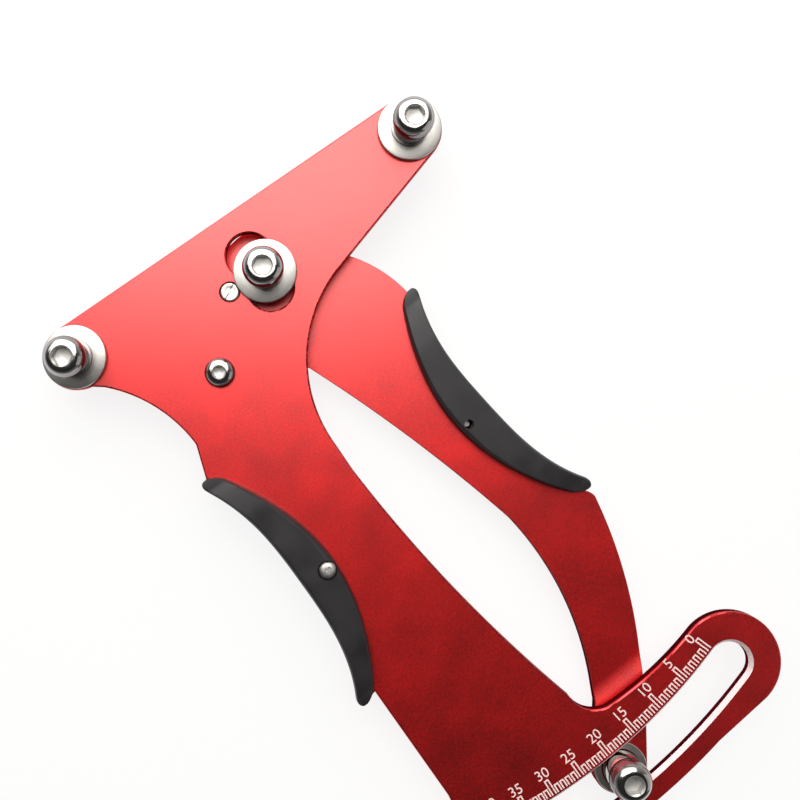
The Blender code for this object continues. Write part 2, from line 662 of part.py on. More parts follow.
def make_anchor(carrier):
    """Button head screw in the frame whose sleeve holds the spring's fixed leg."""
    bore = ANCHOR_SCREW_RADIUS + SEAT
    sleeve_top = FRAME_BACK - SEAT
    sleeve_low = sleeve_top - ANCHOR_SLEEVE_LENGTH
    sleeve = ring("spring_anchor_sleeve", bore, ANCHOR_SLEEVE_RADIUS, sleeve_low, sleeve_top, STEEL)
    place(sleeve, carrier, *ANCHOR)
    nut_top = sleeve_low - SEAT
    nut_low = nut_top - ANCHOR_NUT_HEIGHT
    place(nut("spring_anchor_nut", bore, ANCHOR_NUT_ACROSS_FLATS, nut_low, nut_top, STEEL), carrier, *ANCHOR)
    screw = button_screw("spring_anchor_screw", ANCHOR_SCREW_RADIUS, ANCHOR_HEAD_RADIUS, SEAT, ANCHOR_HEAD_HEIGHT,
                         ANCHOR_FLAT_RADIUS, ANCHOR_SOCKET_ACROSS_FLATS, ANCHOR_SOCKET_DEPTH, FRAME_FRONT + SEAT,
                         nut_low - SCREW_END_LENGTH / 2, STEEL)
    place(screw, carrier, *ANCHOR)


def make_peg(carrier):
    """Shouldered rivet in the lever that the spring's moving leg pushes."""
    low = LEVER_BACK - SEAT - PEG_HEAD_THICKNESS
    shoulder = LEVER_FRONT + SEAT
    top = FRAME_BACK - SEAT
    profile = [(0.0, low), (PEG_HEAD_RADIUS - SEAT, low), (PEG_HEAD_RADIUS, low + SEAT)]
    profile += [(PEG_HEAD_RADIUS, LEVER_BACK - SEAT), (PEG_SHANK_RADIUS, LEVER_BACK - SEAT)]
    profile += [(PEG_SHANK_RADIUS, shoulder), (PEG_RADIUS, shoulder), (PEG_RADIUS, top - SEAT)]
    profile += [(PEG_RADIUS - SEAT, top), (0.0, top)]
    place(new_object("lever_spring_peg", turned_mesh(profile, 20), STEEL), carrier, *PEG)


def spring_path():
    """Centre line of the spring: straight leg, coil and straight leg."""
    anchor_offset = ANCHOR_SLEEVE_RADIUS + SEAT + WIRE_RADIUS
    peg_offset = PEG_RADIUS + SEAT + WIRE_RADIUS
    anchor_distance = hypot(*ANCHOR)
    peg_distance = hypot(*PEG)
    fixed_heading = degrees(atan2(ANCHOR_Y, ANCHOR_X) + asin((COIL_RADIUS + anchor_offset) / anchor_distance))
    moving_heading = degrees(atan2(PEG_Y, PEG_X) - asin((COIL_RADIUS + peg_offset) / peg_distance))
    first = fixed_heading - 90.0
    last = moving_heading + 90.0
    sweep = -((first - last) % 360.0) - 360.0 * COIL_EXTRA_TURNS
    rise = COIL_PITCH * abs(sweep) / 360.0
    middle = (LEVER_FRONT + FRAME_BACK) / 2.0
    top = middle + rise / 2.0
    steps = ceil(COIL_STEPS_PER_TURN * abs(sweep) / 360.0)
    coil = []
    for step in range(steps + 1):
        share = step / steps
        x, y = polar(COIL_RADIUS, first + sweep * share)
        coil.append(Vector((x, y, top - rise * share)))
    fixed_length = sqrt(anchor_distance ** 2 - (COIL_RADIUS + anchor_offset) ** 2) + LEG_OVERRUN
    moving_length = sqrt(peg_distance ** 2 - (COIL_RADIUS + peg_offset) ** 2) + LEG_OVERRUN
    fixed_end = coil[0] + Vector((*polar(fixed_length, fixed_heading), 0.0))
    moving_end = coil[-1] + Vector((*polar(moving_length, moving_heading), 0.0))
    return [fixed_end] + coil + [moving_end]


def make_spring(carrier):
    """Torsion spring wound round the pivot spacer, swept along its centre line."""
    path = spring_path()
    bm = bmesh.new()
    rings = []
    up = Vector((0.0, 0.0, 1.0))
    for index, point in enumerate(path):
        before = path[max(0, index - 1)]
        after = path[min(len(path) - 1, index + 1)]
        forward = (after - before).normalized()
        side = forward.cross(up).normalized()
        rise = side.cross(forward)
        around = []
        for k in range(WIRE_SIDES):
            angle = 2.0 * pi * k / WIRE_SIDES
            around.append(bm.verts.new(point + WIRE_RADIUS * (cos(angle) * side + sin(angle) * rise)))
        rings.append(around)
    for low, high in zip(rings, rings[1:]):
        for k in range(WIRE_SIDES):
            after = (k + 1) % WIRE_SIDES
            bm.faces.new((low[k], low[after], high[after], high[k]))
    bm.faces.new(rings[0])
    bm.faces.new(rings[-1])
    place(new_object("torsion_spring", bm, SPRING_STEEL), carrier, 0.0, 0.0)


def grip_shell_mesh(side, recess):
    """Half of the crescent grip on one side of the plate's mid plane: side is 1 or -1."""
    stations = []
    for step in range(GRIP_STATIONS + 1):
        angle = pi * step / GRIP_STATIONS
        stations.append(-GRIP_HALF_CHORD * 0.9985 * cos(angle))
    seam = SEAT / 2.0
    bm = bmesh.new()
    rings = []
    for y in stations:
        middle, half_width, half_height = grip_widths(y)
        step_height = min(recess, 0.55 * half_height)
        lip = grip_lip(half_width)
        start = asin((step_height / half_height) ** (GRIP_ROUNDNESS / 2.0))
        crown = half_height * GRIP_FLAT_SHARE
        section = [(middle - half_width, seam), (middle - half_width + lip, seam)]
        section.append((middle - half_width + lip, step_height))
        for k in range(GRIP_ARC_POINTS):
            angle = start + (pi - start) * k / GRIP_ARC_POINTS
            across = abs(cos(angle)) ** (2.0 / GRIP_ROUNDNESS)
            height = half_height * sin(angle) ** (2.0 / GRIP_ROUNDNESS)
            across = across if angle < pi / 2 else -across
            section.append((middle + half_width * across, max(seam + 1e-4, min(crown, height))))
        rings.append([bm.verts.new((x, y, side * z)) for x, z in section])
    count = len(rings[0])
    for low, high in zip(rings, rings[1:]):
        for k in range(count):
            after = (k + 1) % count
            bm.faces.new((low[k], low[after], high[after], high[k]))
    bm.faces.new(rings[0])
    bm.faces.new(rings[-1])
    bmesh.ops.triangulate(bm, faces=bm.faces)
    return bm


def make_grip(prefix, carrier, centre, turn, mirror, plate_middle, plate_thickness, head_side):
    """Two shells that clasp the plate, and the screw that draws them together."""
    crown = GRIP_HALF_THICKNESS * GRIP_FLAT_SHARE
    head_seat = crown - GRIP_SCREW_SINK
    for shell, side in (("front", 1.0), ("back", -1.0)):
        bm = grip_shell_mesh(side, plate_thickness / 2.0 + SEAT)
        if mirror:
            bmesh.ops.scale(bm, vec=(-1.0, 1.0, 1.0), verts=bm.verts)
        part = new_object(prefix + "_grip_" + shell, bm, BLACK, 32.0)
        spot = (-GRIP_SCREW_SPOT[0] if mirror else GRIP_SCREW_SPOT[0], GRIP_SCREW_SPOT[1])
        through = 2.0 * GRIP_HALF_THICKNESS
        hole = circle(GRIP_SCREW_RADIUS + SEAT, spot, SMALL_HOLE_SIDES)
        cut(part, part.name + "_screw_hole", prism_mesh(hole, -through, through))
        if side == head_side:
            bore = circle(GRIP_SCREW_HEAD_RADIUS + SEAT, spot)
            low, high = sorted((side * (head_seat - SEAT), side * through))
            cut(part, part.name + "_head_recess", prism_mesh(bore, low, high))
        part.rotation_euler = (0.0, 0.0, radians(turn))
        place(part, carrier, centre[0], centre[1], plate_middle)
    make_grip_screw(prefix, carrier, turn, mirror, centre, plate_middle, head_side, head_seat, crown)


def make_grip_screw(prefix, carrier, turn, mirror, centre, plate_middle, head_side, head_seat, crown):
    """Pan head screw with a cross recess; it ends short of the far shell's face."""
    rim = GRIP_SCREW_HEAD_RADIUS
    tall = GRIP_SCREW_HEAD_HEIGHT
    end = GRIP_SCREW_SHORT - crown
    profile = [(0.0, end), (GRIP_SCREW_RADIUS - GRIP_SCREW_TIP / 2, end)]
    profile += [(GRIP_SCREW_RADIUS, end + GRIP_SCREW_TIP), (GRIP_SCREW_RADIUS, head_seat)]
    profile += [(rim, head_seat)] + dome_arc(rim, rim * 0.45, head_seat + tall * 0.25, head_seat + tall)
    profile.append((0.0, head_seat + tall))
    bm = turned_mesh(profile, SMALL_HOLE_SIDES)
    bmesh.ops.scale(bm, vec=(1.0, 1.0, head_side), verts=bm.verts)
    part = new_object(prefix + "_grip_screw", bm, STEEL)
    top = head_side * (head_seat + tall)
    slot_half = CROSS_HALF_WIDTH
    reach = CROSS_REACH
    low, high = sorted((top - head_side * CROSS_DEPTH, top + head_side * CROSS_DEPTH))
    plus = [(slot_half, slot_half), (reach, slot_half), (reach, -slot_half), (slot_half, -slot_half)]
    plus += [(slot_half, -reach), (-slot_half, -reach), (-slot_half, -slot_half), (-reach, -slot_half)]
    plus += [(-reach, slot_half), (-slot_half, slot_half), (-slot_half, reach), (slot_half, reach)]
    cut(part, prefix + "_cross_recess", prism_mesh(plus, low, high))
    spot = grip_placer(centre[0], centre[1], turn, mirror)(GRIP_SCREW_SPOT)
    place(part, carrier, spot[0], spot[1], plate_middle)


def make_pointer(carrier):
    """Bolt that rides in the scale slot on a bushing, with a washer above and a nut behind."""
    bore = SCREW_RADIUS + SEAT
    low = LEVER_END_FRONT + SEAT
    bushing_top = low + BUSHING_LENGTH
    place(ring("pointer_bushing", bore, BUSHING_RADIUS, low, bushing_top, STEEL), carrier, *POINTER)
    washer_low = bushing_top + SEAT
    washer_top = washer_low + POINTER_WASHER_THICKNESS
    washer = ring("pointer_washer", bore, POINTER_WASHER_RADIUS, washer_low, washer_top, DARK_STEEL)
    place(washer, carrier, *POINTER)
    nut_top = LEVER_BACK + JOGGLE_RISE - SEAT
    nut_low = nut_top - NUT_HEIGHT
    place(nut("pointer_nut", bore, NUT_ACROSS_FLATS, nut_low, nut_top, STEEL), carrier, *POINTER)
    screw = button_screw("pointer_screw", SCREW_RADIUS, DOME_RIM_RADIUS, DOME_RIM_HEIGHT, DOME_HEIGHT,
                         DOME_FLAT_RADIUS, SOCKET_ACROSS_FLATS, SOCKET_DEPTH, washer_top + SEAT,
                         nut_low - SCREW_END_LENGTH, STEEL)
    place(screw, carrier, *POINTER)


def main():
    for old in list(bpy.data.objects):
        bpy.data.objects.remove(old)
    frame_carrier = carrier_empty("frame_body")
    lever_carrier = carrier_empty("lever_body")
    make_frame_plate(frame_carrier)
    make_lever_arm(lever_carrier)
    make_pivot(frame_carrier)
    make_spring(frame_carrier)
    make_anchor(frame_carrier)
    make_peg(lever_carrier)
    make_post("left", frame_carrier, (POST_LEFT_X, POST_LINE_Y), FRAME_BACK, False)
    make_post("right", frame_carrier, (POST_RIGHT_X, POST_LINE_Y), FRAME_BACK, False)
    make_post("centre", lever_carrier, CENTRE_POST, LEVER_BACK, True)
    make_grip("left", frame_carrier, (LEFT_GRIP_X, LEFT_GRIP_Y), LEFT_GRIP_TURN, False,
              (FRAME_BACK + FRAME_FRONT) / 2.0, FRAME_THICKNESS, 1.0)
    make_grip("right", lever_carrier, (RIGHT_GRIP_X, RIGHT_GRIP_Y), RIGHT_GRIP_TURN, True,
              (LEVER_BACK + LEVER_FRONT) / 2.0, LEVER_THICKNESS, -1.0)
    make_pointer(lever_carrier)


main()
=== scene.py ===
# Spoke tension meter, dressed for rendering: a frame with two fixed posts and a curved
# scale, and a lever that carries the centre post and the pointer. Lengths are in metres
# and directions in degrees from the pivot.
from math import acos, asin, atan2, ceil, cos, degrees, hypot, pi, radians, sin, sqrt, tan

import bmesh
import bpy
from bpy.props import FloatProperty, FloatVectorProperty, IntProperty, PointerProperty
from mathutils import Matrix, Vector


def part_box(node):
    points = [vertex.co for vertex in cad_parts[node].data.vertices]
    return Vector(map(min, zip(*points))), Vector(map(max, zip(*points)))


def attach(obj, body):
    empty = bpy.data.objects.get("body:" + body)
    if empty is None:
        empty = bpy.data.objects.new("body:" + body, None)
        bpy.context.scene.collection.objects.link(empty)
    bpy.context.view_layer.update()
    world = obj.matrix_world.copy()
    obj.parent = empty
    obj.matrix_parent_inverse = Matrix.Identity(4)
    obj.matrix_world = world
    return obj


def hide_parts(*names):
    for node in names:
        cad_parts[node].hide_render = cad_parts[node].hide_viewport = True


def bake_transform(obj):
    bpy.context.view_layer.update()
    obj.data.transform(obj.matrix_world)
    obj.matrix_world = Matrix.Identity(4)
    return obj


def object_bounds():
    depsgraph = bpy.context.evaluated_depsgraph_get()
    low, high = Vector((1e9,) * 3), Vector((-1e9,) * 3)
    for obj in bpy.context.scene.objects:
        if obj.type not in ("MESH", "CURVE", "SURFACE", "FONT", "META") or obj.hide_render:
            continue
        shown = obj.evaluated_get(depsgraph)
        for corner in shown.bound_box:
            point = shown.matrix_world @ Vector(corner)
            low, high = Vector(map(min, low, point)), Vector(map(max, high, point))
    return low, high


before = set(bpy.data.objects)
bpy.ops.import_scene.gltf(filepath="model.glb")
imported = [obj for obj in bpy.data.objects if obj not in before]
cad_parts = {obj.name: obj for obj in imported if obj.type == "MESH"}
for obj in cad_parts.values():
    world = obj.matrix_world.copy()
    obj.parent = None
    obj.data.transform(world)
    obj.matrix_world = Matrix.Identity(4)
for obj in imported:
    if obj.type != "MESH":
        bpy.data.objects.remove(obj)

bl_info = {
    "name": "Spoke tension meter",
    "version": (1, 0, 0),
    "blender": (4, 5, 0),
    "location": "View3D > Sidebar > Tension meter",
    "description": "Builds the dressed pieces of a spoke tension meter and its studio",
    "category": "Object",
}

SOLID_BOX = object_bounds()

# Running gap between pieces that touch on the real tool
SEAT = 0.0003

# Plates. The lever's edges and those of small holes are rounded by a share of the frame's.
FRAME_THICKNESS = 0.0030
LEVER_THICKNESS = 0.0030
PLATE_GAP = 0.0042
LEVER_EDGE_SHARE = 0.36
SMALL_HOLE = 0.012
SMALL_HOLE_SHARE = 0.4
SLOT_BACK_SHARE = 0.3

# Head of the frame and its two fixed posts
POST_LINE_Y = 0.0095
LEFT_POST = (-0.0468, POST_LINE_Y)
RIGHT_POST = (0.0685, POST_LINE_Y)
HEAD_END_RADIUS = 0.0095
HEAD_END_TURN = 262.0
HEAD_CORNER_INSET = 0.0018
HEAD_CORNER_DROP = 0.0022
HEAD_UNDER = (0.0310, -0.0116)
HEAD_UNDER_TURN = -74.6
HEAD_UNDER_BULGE = 0.0089

# Handle of the frame, down to the scale arm, and the window that parts it from the lever
HANDLE_NECK = (-0.0326, -0.0305)
HANDLE_NECK_BULGE = 0.0029
HANDLE_HEEL_X = -0.0302
HANDLE_HEEL_RISE = 0.0010
HANDLE_FOOT_X = -0.0296
HANDLE_FOOT_RISE = 0.0240
HANDLE_FOOT_BULGE = 0.0005
WINDOW_X = 0.0004
WINDOW_TOP_Y = -0.0530
WINDOW_SIDE_Y = -0.0620
WINDOW_SIDE_BULGE = 0.0024
WINDOW_FOOT_RISE = 0.02725
WINDOW_FOOT_ANGLE = -84.29
WINDOW_FOOT_BULGE = 0.0021

# Pivot pin. Its front end is staked: rings of (radius, drop), and two punched dents.
PIN_RADIUS = 0.0028
PIN_SEAT_SHARE = 0.4
PIN_HEAD_RADIUS = 0.0055
PIN_HEAD_THICKNESS = 0.0015
PIN_EDGE = 0.0003
PIN_BACK_DISH = 0.0001
PIN_BACK_SHARE = 0.5
PIN_END_RINGS = ((0.0021, 0.0), (0.0018, 0.0), (0.0015, 0.00005), (0.0012, 0.00008),
                 (0.0008, 0.00008), (0.0004, 0.00008), (0.0, 0.00008))
STAKE_ANGLES = (28.0, 208.0)
STAKE_WIDTH = 0.0006
STAKE_DEPTH = 0.00015
STAKE_REACH = 0.0016
STAKE_START = 0.0003
STAKE_HEIGHT = 0.00035
PIVOT_WASHER_THICKNESS = 0.0008
LEVER_EYE_RADIUS = 0.0110
LEVER_EYE_ARC = (95.0, 205.0)

# Centre post, carried by the lever through an arc slot in the frame
CENTRE_POST_ORBIT = 0.0117
CENTRE_POST_ANGLE = -3.9
CENTRE_SLOT_HALF_WIDTH = 0.0066
CENTRE_SLOT_HALF_ANGLE = 28.0
LEVER_POST_EYE_RADIUS = 0.0144
LEVER_POST_EYE_ARC = (40.0, 95.0)

# What is on every post
SCREW_RADIUS = 0.0030
COLLAR_HEIGHT = 0.0015
NECK_RADIUS = 0.0043
SLEEVE_EDGE = 0.0003
SLEEVE_FLARE = 0.0006
NUT_ACROSS_FLATS = 0.0100
NUT_LIP = 0.0004
NUT_FACE_STEP = 0.0002
NUT_CORNER_TURN = 30.0
BIG_WASHER_ROUNDING = 1.8

# Button heads: radius and height of the rim, whole height, radius of the flat, and the
# socket's width across flats and depth
POST_HEAD = (0.00575, 0.0008, 0.0039, 0.0032, 0.0048, 0.0024)
ANCHOR_HEAD = (0.00435, SEAT, 0.0027, 0.0021, 0.0032, 0.0016)
DOME_EDGE = 0.00015

# The cone at the foot of a socket: shares of its width across flats, and drops below its floor
SOCKET_FLOOR = ((0.3, 0.00012), (0.0, 0.0004))

# How far inside the corner a broken edge has its middle, as a share of its radius
CORNER_SHARE = 0.3

# Thread on the nose of a screw, in pitches out from the shank and up: its tip, the height of
# the first crest, and one turn
THREAD_START = ((-0.6, 0.0), (-0.15, 0.35))
THREAD_FIRST = 0.6
THREAD_TURN = ((0.0, 0.0), (0.0, 0.12), (-0.55, 0.5))
POST_NOSE = 0.0012

# Scale arm, an arc about the pivot
SCALE_RADIUS = 0.1780
SCALE_SLOT_HALF_WIDTH = 0.0066
SCALE_OUTER_LAND = 0.0054
SCALE_INNER_LAND = 0.0177
SCALE_INNER_ANGLE = -82.04
SCALE_INNER_BULGE = 0.00135
SCALE_START_ANGLE = -70.8
SCALE_END_ANGLE = -102.2
SCALE_CAP_RADIUS = 0.0146
SCALE_CAP_LOW_TURN = 68.0
SCALE_CAP_HIGH_TURN = 104.0
SCALE_CAP_RUN_ON = 4.0
SCALE_RIM_INSET = 6.0
SCALE_CAP_LEAD = 8.0
SLOT_WALL_SETBACK = 0.14

# Pointer, at the end of the lever
POINTER_ANGLE = -84.93
JOGGLE_SETBACK = 0.0217
JOGGLE_RISE = 0.0030
GLIDE_EDGE = 0.0002

# Edges of the lever between the pivot, the grip and the pointer
LEVER_THROAT = (0.0066, -0.0308)
LEVER_THROAT_BULGE = 0.0014
LEVER_WAIST = (0.0304, -0.1006)
LEVER_WAIST_BULGE = 0.0049
LEVER_FOOT_RISE = 0.0177
LEVER_FOOT_ANGLE = -82.62
LEVER_END_RADIUS = 0.0080
LEVER_END_ARC = (142.0, 327.0)
LEVER_TOE_RISE = 0.0147
LEVER_TOE_ANGLE = -76.83
LEVER_TOE_BULGE = 0.0025
LEVER_HEEL_OFFSET = 0.0064
LEVER_HEEL_DROP = 0.0029
LEVER_HEEL_TUCK = (0.0014, -0.0385)
LEVER_HEEL_BULGE = 0.0005
LEVER_SHOULDER = (0.0250, -0.0010)
LEVER_SHOULDER_BULGE = 0.0035

# Torsion spring and what its two legs bear on
WIRE_RADIUS = 0.00065
WIRE_SECTION_SIDES = 20
COIL_RADIUS = 0.0050
COIL_PITCH = 0.00145
COIL_EXTRA_TURNS = 1
LEG_OVERRUN = 0.0040
ANCHOR = (-0.0152, -0.0173)
ANCHOR_SCREW_RADIUS = 0.0025
ANCHOR_SLEEVE_RADIUS = 0.0039
ANCHOR_NUT_ACROSS_FLATS = 0.0080
ANCHOR_NOSE = 0.0006
ANCHOR_PITCH = 0.0008
PEG = (0.0037, -0.0199)
PEG_RADIUS = 0.0022
PEG_SHANK_RADIUS = 0.0015
PEG_HEAD_RADIUS = 0.0027
PEG_HEAD_EDGE = 0.0004
LEVER_PEG_MARGIN = 0.0046
LEVER_PEG_ARC = (195.0, 250.0)

# Crescent grips: one moulding, used right way round and mirrored
GRIP_HALF_CHORD = 0.0392
GRIP_END_SHARE = 0.9985
GRIP_PLATE_SIDE = 0.0161
GRIP_PLATE_SWEEP = 0.0115
GRIP_PLATE_POWER = 1.94
GRIP_HAND_SIDE = 0.0046
GRIP_HAND_SWEEP = 0.0065
GRIP_HAND_POWER = 3.0
GRIP_TIP_LENGTH = 0.0032
GRIP_TIP_SHARE = 0.93
GRIP_HALF_THICKNESS = 0.0060
GRIP_TIP_HALF_THICKNESS = 0.0036
GRIP_SWELL = 1.35
GRIP_LIP = 0.0034
GRIP_LIP_SHARE = 1.2
GRIP_STEP_SHARE = 0.55
GRIP_FLAT_SHARE = 0.93
GRIP_ROUNDNESS = 5.0
GRIP_SCREW_INSET = 0.0030
GRIP_SCREW_ALONG = -0.0014
GRIP_SCREW_RADIUS = 0.0011
GRIP_SCREW_HEAD_RADIUS = 0.0025
GRIP_SCREW_HEAD_HEIGHT = 0.0016
GRIP_SCREW_FLAT_SHARE = 0.35
GRIP_SCREW_RIM_SHARE = 0.25
GRIP_SCREW_SINK = 0.0018
GRIP_SCREW_SHORT = 0.0040
GRIP_SCREW_TIP = 0.0006
GRIP_SCREW_EDGE = 0.0003
GRIP_SCREW_RIM_EDGE = 0.0001
GRIP_SCREW_SIDES = 72
CROSS_HALF_WIDTH = 0.00035
CROSS_REACH = 0.0014
CROSS_DEPTH = 0.0009
CROSS_OVER_SHARE = 0.6
CROSS_TURN = 18.0
CROSS_TAPER = 0.55
LEFT_GRIP_CENTRE = (-0.0345, -0.0796)
LEFT_GRIP_TURN = 1.5
RIGHT_GRIP_CENTRE = (0.0484, -0.0671)
RIGHT_GRIP_TURN = 7.9

# Fineness of round shapes, and the distances that count as none
ARC_TOLERANCE = 0.000008
DOUBLE = 0.00002
HAIR = 0.00001
MERGE = 0.0000001
ROUND_SIDES = 72
DRILL_SIDES = 48
DOME_STEPS = 12
FLARE_STEPS = 8
THROUGH = 0.02
EDGE_STEPS = 64

# Angles between faces, past which an edge is drawn sharp
SHARP = 30.0
NUT_SHARP = 18.0
SOCKET_SHARP = 24.0
GRIP_SHARP = 32.0
WIRE_SHARP = 40.0
PIN_SHARP = 50.0

# Light of the world, by how far a way points up in the picture and by how high it points:
# where it starts and ends, and its least and most
AIR_UP = (0.0, 0.8, 0.03, 0.35)
AIR_HIGH = (0.45, 0.2, 0.0, 0.22)
SENSOR_WIDTH_MM = 36.0
NEAREST_SEEN = 0.01

# Studio: the point that the camera hangs over, and the soft lamps, each with the name of its
# power setting, its width and depth, and its place to the right, beyond and over that point
CAMERA_SPOT = Vector((0.00621, -0.03296, 0.0))
FLOOR_Y = -0.08
LAMPS = (
    ("key_lamp", "key_power", (0.56, 0.56), (-0.09, 0.30, 0.70)),
    ("sky_lamp", "sky_power", (1.3, 0.9), (-0.09, 0.52, 0.60)),
    ("fill_lamp", "fill_power", (0.6, 0.6), (0.75, -0.25, 0.35)),
)
LAMP_COLOUR = (1.0, 0.98, 0.93)
PAPER_WHITE = 0.84

# Heights of the stack, worked out from the pin's back face upwards
LEVER_BACK = PIN_HEAD_THICKNESS + SEAT + PIVOT_WASHER_THICKNESS + SEAT
LEVER_FRONT = LEVER_BACK + LEVER_THICKNESS
FRAME_BACK = LEVER_FRONT + PLATE_GAP
FRAME_FRONT = FRAME_BACK + FRAME_THICKNESS
LEVER_END_FRONT = LEVER_FRONT + JOGGLE_RISE
JOGGLE_START = SCALE_RADIUS - JOGGLE_SETBACK


def polar(radius, angle, centre=(0.0, 0.0)):
    """The point at an angle in degrees on a circle."""
    return (centre[0] + radius * cos(radians(angle)), centre[1] + radius * sin(radians(angle)))


class Outline:
    """A flat outline drawn counter-clockwise from lines and arcs."""

    def __init__(self, start):
        self.points = [start]

    def line(self, *ends):
        self.points += ends

    def turn(self, centre, radius, start_angle, end_angle):
        """An arc from one angle to another, the way that the angles run."""
        largest = degrees(2.0 * acos(1.0 - ARC_TOLERANCE / radius))
        steps = max(2, ceil(abs(end_angle - start_angle) / largest))
        for step in range(steps + 1):
            point = polar(radius, start_angle + (end_angle - start_angle) * step / steps, centre)
            if hypot(point[0] - self.points[-1][0], point[1] - self.points[-1][1]) > 1e-6:
                self.points.append(point)

    def bow(self, bulge, end):
        """An arc to an end point, whose middle stands off the chord by a bulge: positive is to
        the right. Its centre is as far from both ends as from that middle."""
        ax, ay = self.points[-1]
        cx, cy = end
        share = bulge / hypot(cx - ax, cy - ay)
        bx = (ax + cx) / 2.0 + (cy - ay) * share
        by = (ay + cy) / 2.0 - (cx - ax) * share
        cross = 2.0 * ((bx - ax) * (cy - ay) - (by - ay) * (cx - ax))
        ab = (bx - ax) ** 2 + (by - ay) ** 2
        ac = (cx - ax) ** 2 + (cy - ay) ** 2
        ux = ax + ((cy - ay) * ab - (by - ay) * ac) / cross
        uy = ay + ((bx - ax) * ac - (cx - ax) * ab) / cross
        start = degrees(atan2(ay - uy, ax - ux))
        sweep = (degrees(atan2(cy - uy, cx - ux)) - start) % 360.0
        if cross < 0.0:
            sweep -= 360.0
        self.turn((ux, uy), hypot(ax - ux, ay - uy), start, start + sweep)


def circle(radius, centre=(0.0, 0.0), sides=ROUND_SIDES):
    return [polar(radius, 360.0 * k / sides, centre) for k in range(sides)]


def arc_slot(orbit, half_width, low_angle, high_angle):
    """A slot with round ends whose centre line is an arc about the pivot."""
    slot = Outline(polar(orbit + half_width, low_angle))
    slot.turn((0.0, 0.0), orbit + half_width, low_angle, high_angle)
    slot.turn(polar(orbit, high_angle), half_width, high_angle, high_angle + 180.0)
    slot.turn((0.0, 0.0), orbit - half_width, high_angle, low_angle)
    slot.turn(polar(orbit, low_angle), half_width, low_angle + 180.0, low_angle + 360.0)
    return slot.points


def loop_of(points, is_hole):
    """A loop without doubles and with the material on its left: outlines run
    counter-clockwise and holes clockwise."""
    loop = []
    for point in points:
        if not loop or hypot(point[0] - loop[-1][0], point[1] - loop[-1][1]) > DOUBLE:
            loop.append(point)
    if hypot(loop[0][0] - loop[-1][0], loop[0][1] - loop[-1][1]) < DOUBLE:
        loop.pop()
    area = sum(a[0] * b[1] - b[0] * a[1] for a, b in zip(loop, loop[1:] + loop[:1]))
    return loop[::-1] if (area > 0.0) == is_hole else loop


def inset(points, distance):
    """The loop moved into the material by a distance, with mitred corners."""
    moved = []
    corners = [Vector(point) for point in points]
    for before, here, after in zip(corners[-1:] + corners[:-1], corners, corners[1:] + corners[:1]):
        first = (here - before).normalized()
        second = (after - here).normalized()
        normal = Vector((-first.y - second.y, first.x + second.x)).normalized()
        share = max(0.5, normal.dot(Vector((-first.y, first.x))))
        moved.append(tuple(here + normal * (distance / share)))
    return moved


def grip_widths(y):
    """Middle, half width and half thickness of the grip at a place along its chord."""
    reach = GRIP_HALF_CHORD - GRIP_TIP_LENGTH
    share = abs(y) / reach
    plate_side = GRIP_PLATE_SIDE - GRIP_PLATE_SWEEP * share ** GRIP_PLATE_POWER
    hand_side = GRIP_HAND_SIDE - GRIP_HAND_SWEEP * share ** GRIP_HAND_POWER
    past = min(1.0, max(0.0, abs(y) - reach) / GRIP_TIP_LENGTH)
    round_off = sqrt(1.0 - past * past)
    swell = min(1.0, GRIP_SWELL * sqrt(1.0 - min(1.0, share) ** 2))
    tall = GRIP_TIP_HALF_THICKNESS + (GRIP_HALF_THICKNESS - GRIP_TIP_HALF_THICKNESS) * swell
    tall *= GRIP_TIP_SHARE + (1.0 - GRIP_TIP_SHARE) * round_off
    return (plate_side + hand_side) / 2.0, (plate_side - hand_side) / 2.0 * round_off, tall


def grip_lip(half_width):
    """Width of the lip where the two shells meet on the hand side."""
    return min(GRIP_LIP, half_width * GRIP_LIP_SHARE)


def grip_plate_edge(place_grip, first_end):
    """The plate's edge inside a grip, which runs beside the lip from one end to the other."""
    points = []
    for step in range(EDGE_STEPS + 1):
        y = first_end * GRIP_HALF_CHORD * cos(pi * step / EDGE_STEPS)
        middle, half_width, _ = grip_widths(y)
        points.append(place_grip((middle - half_width + grip_lip(half_width) + SEAT, y)))
    return points


def grip_placer(centre, turn, mirror):
    """A function that takes a point of the moulding to its place on the tool."""
    c, s = cos(radians(turn)), sin(radians(turn))

    def placed(point):
        x, y = (-point[0] if mirror else point[0]), point[1]
        return (centre[0] + x * c - y * s, centre[1] + x * s + y * c)

    return placed


place_left_grip = grip_placer(LEFT_GRIP_CENTRE, LEFT_GRIP_TURN, False)
place_right_grip = grip_placer(RIGHT_GRIP_CENTRE, RIGHT_GRIP_TURN, True)
GRIP_SCREW_SPOT = (GRIP_PLATE_SIDE - GRIP_SCREW_INSET, GRIP_SCREW_ALONG)
CENTRE_POST = polar(CENTRE_POST_ORBIT, CENTRE_POST_ANGLE)
POINTER = polar(SCALE_RADIUS, POINTER_ANGLE)


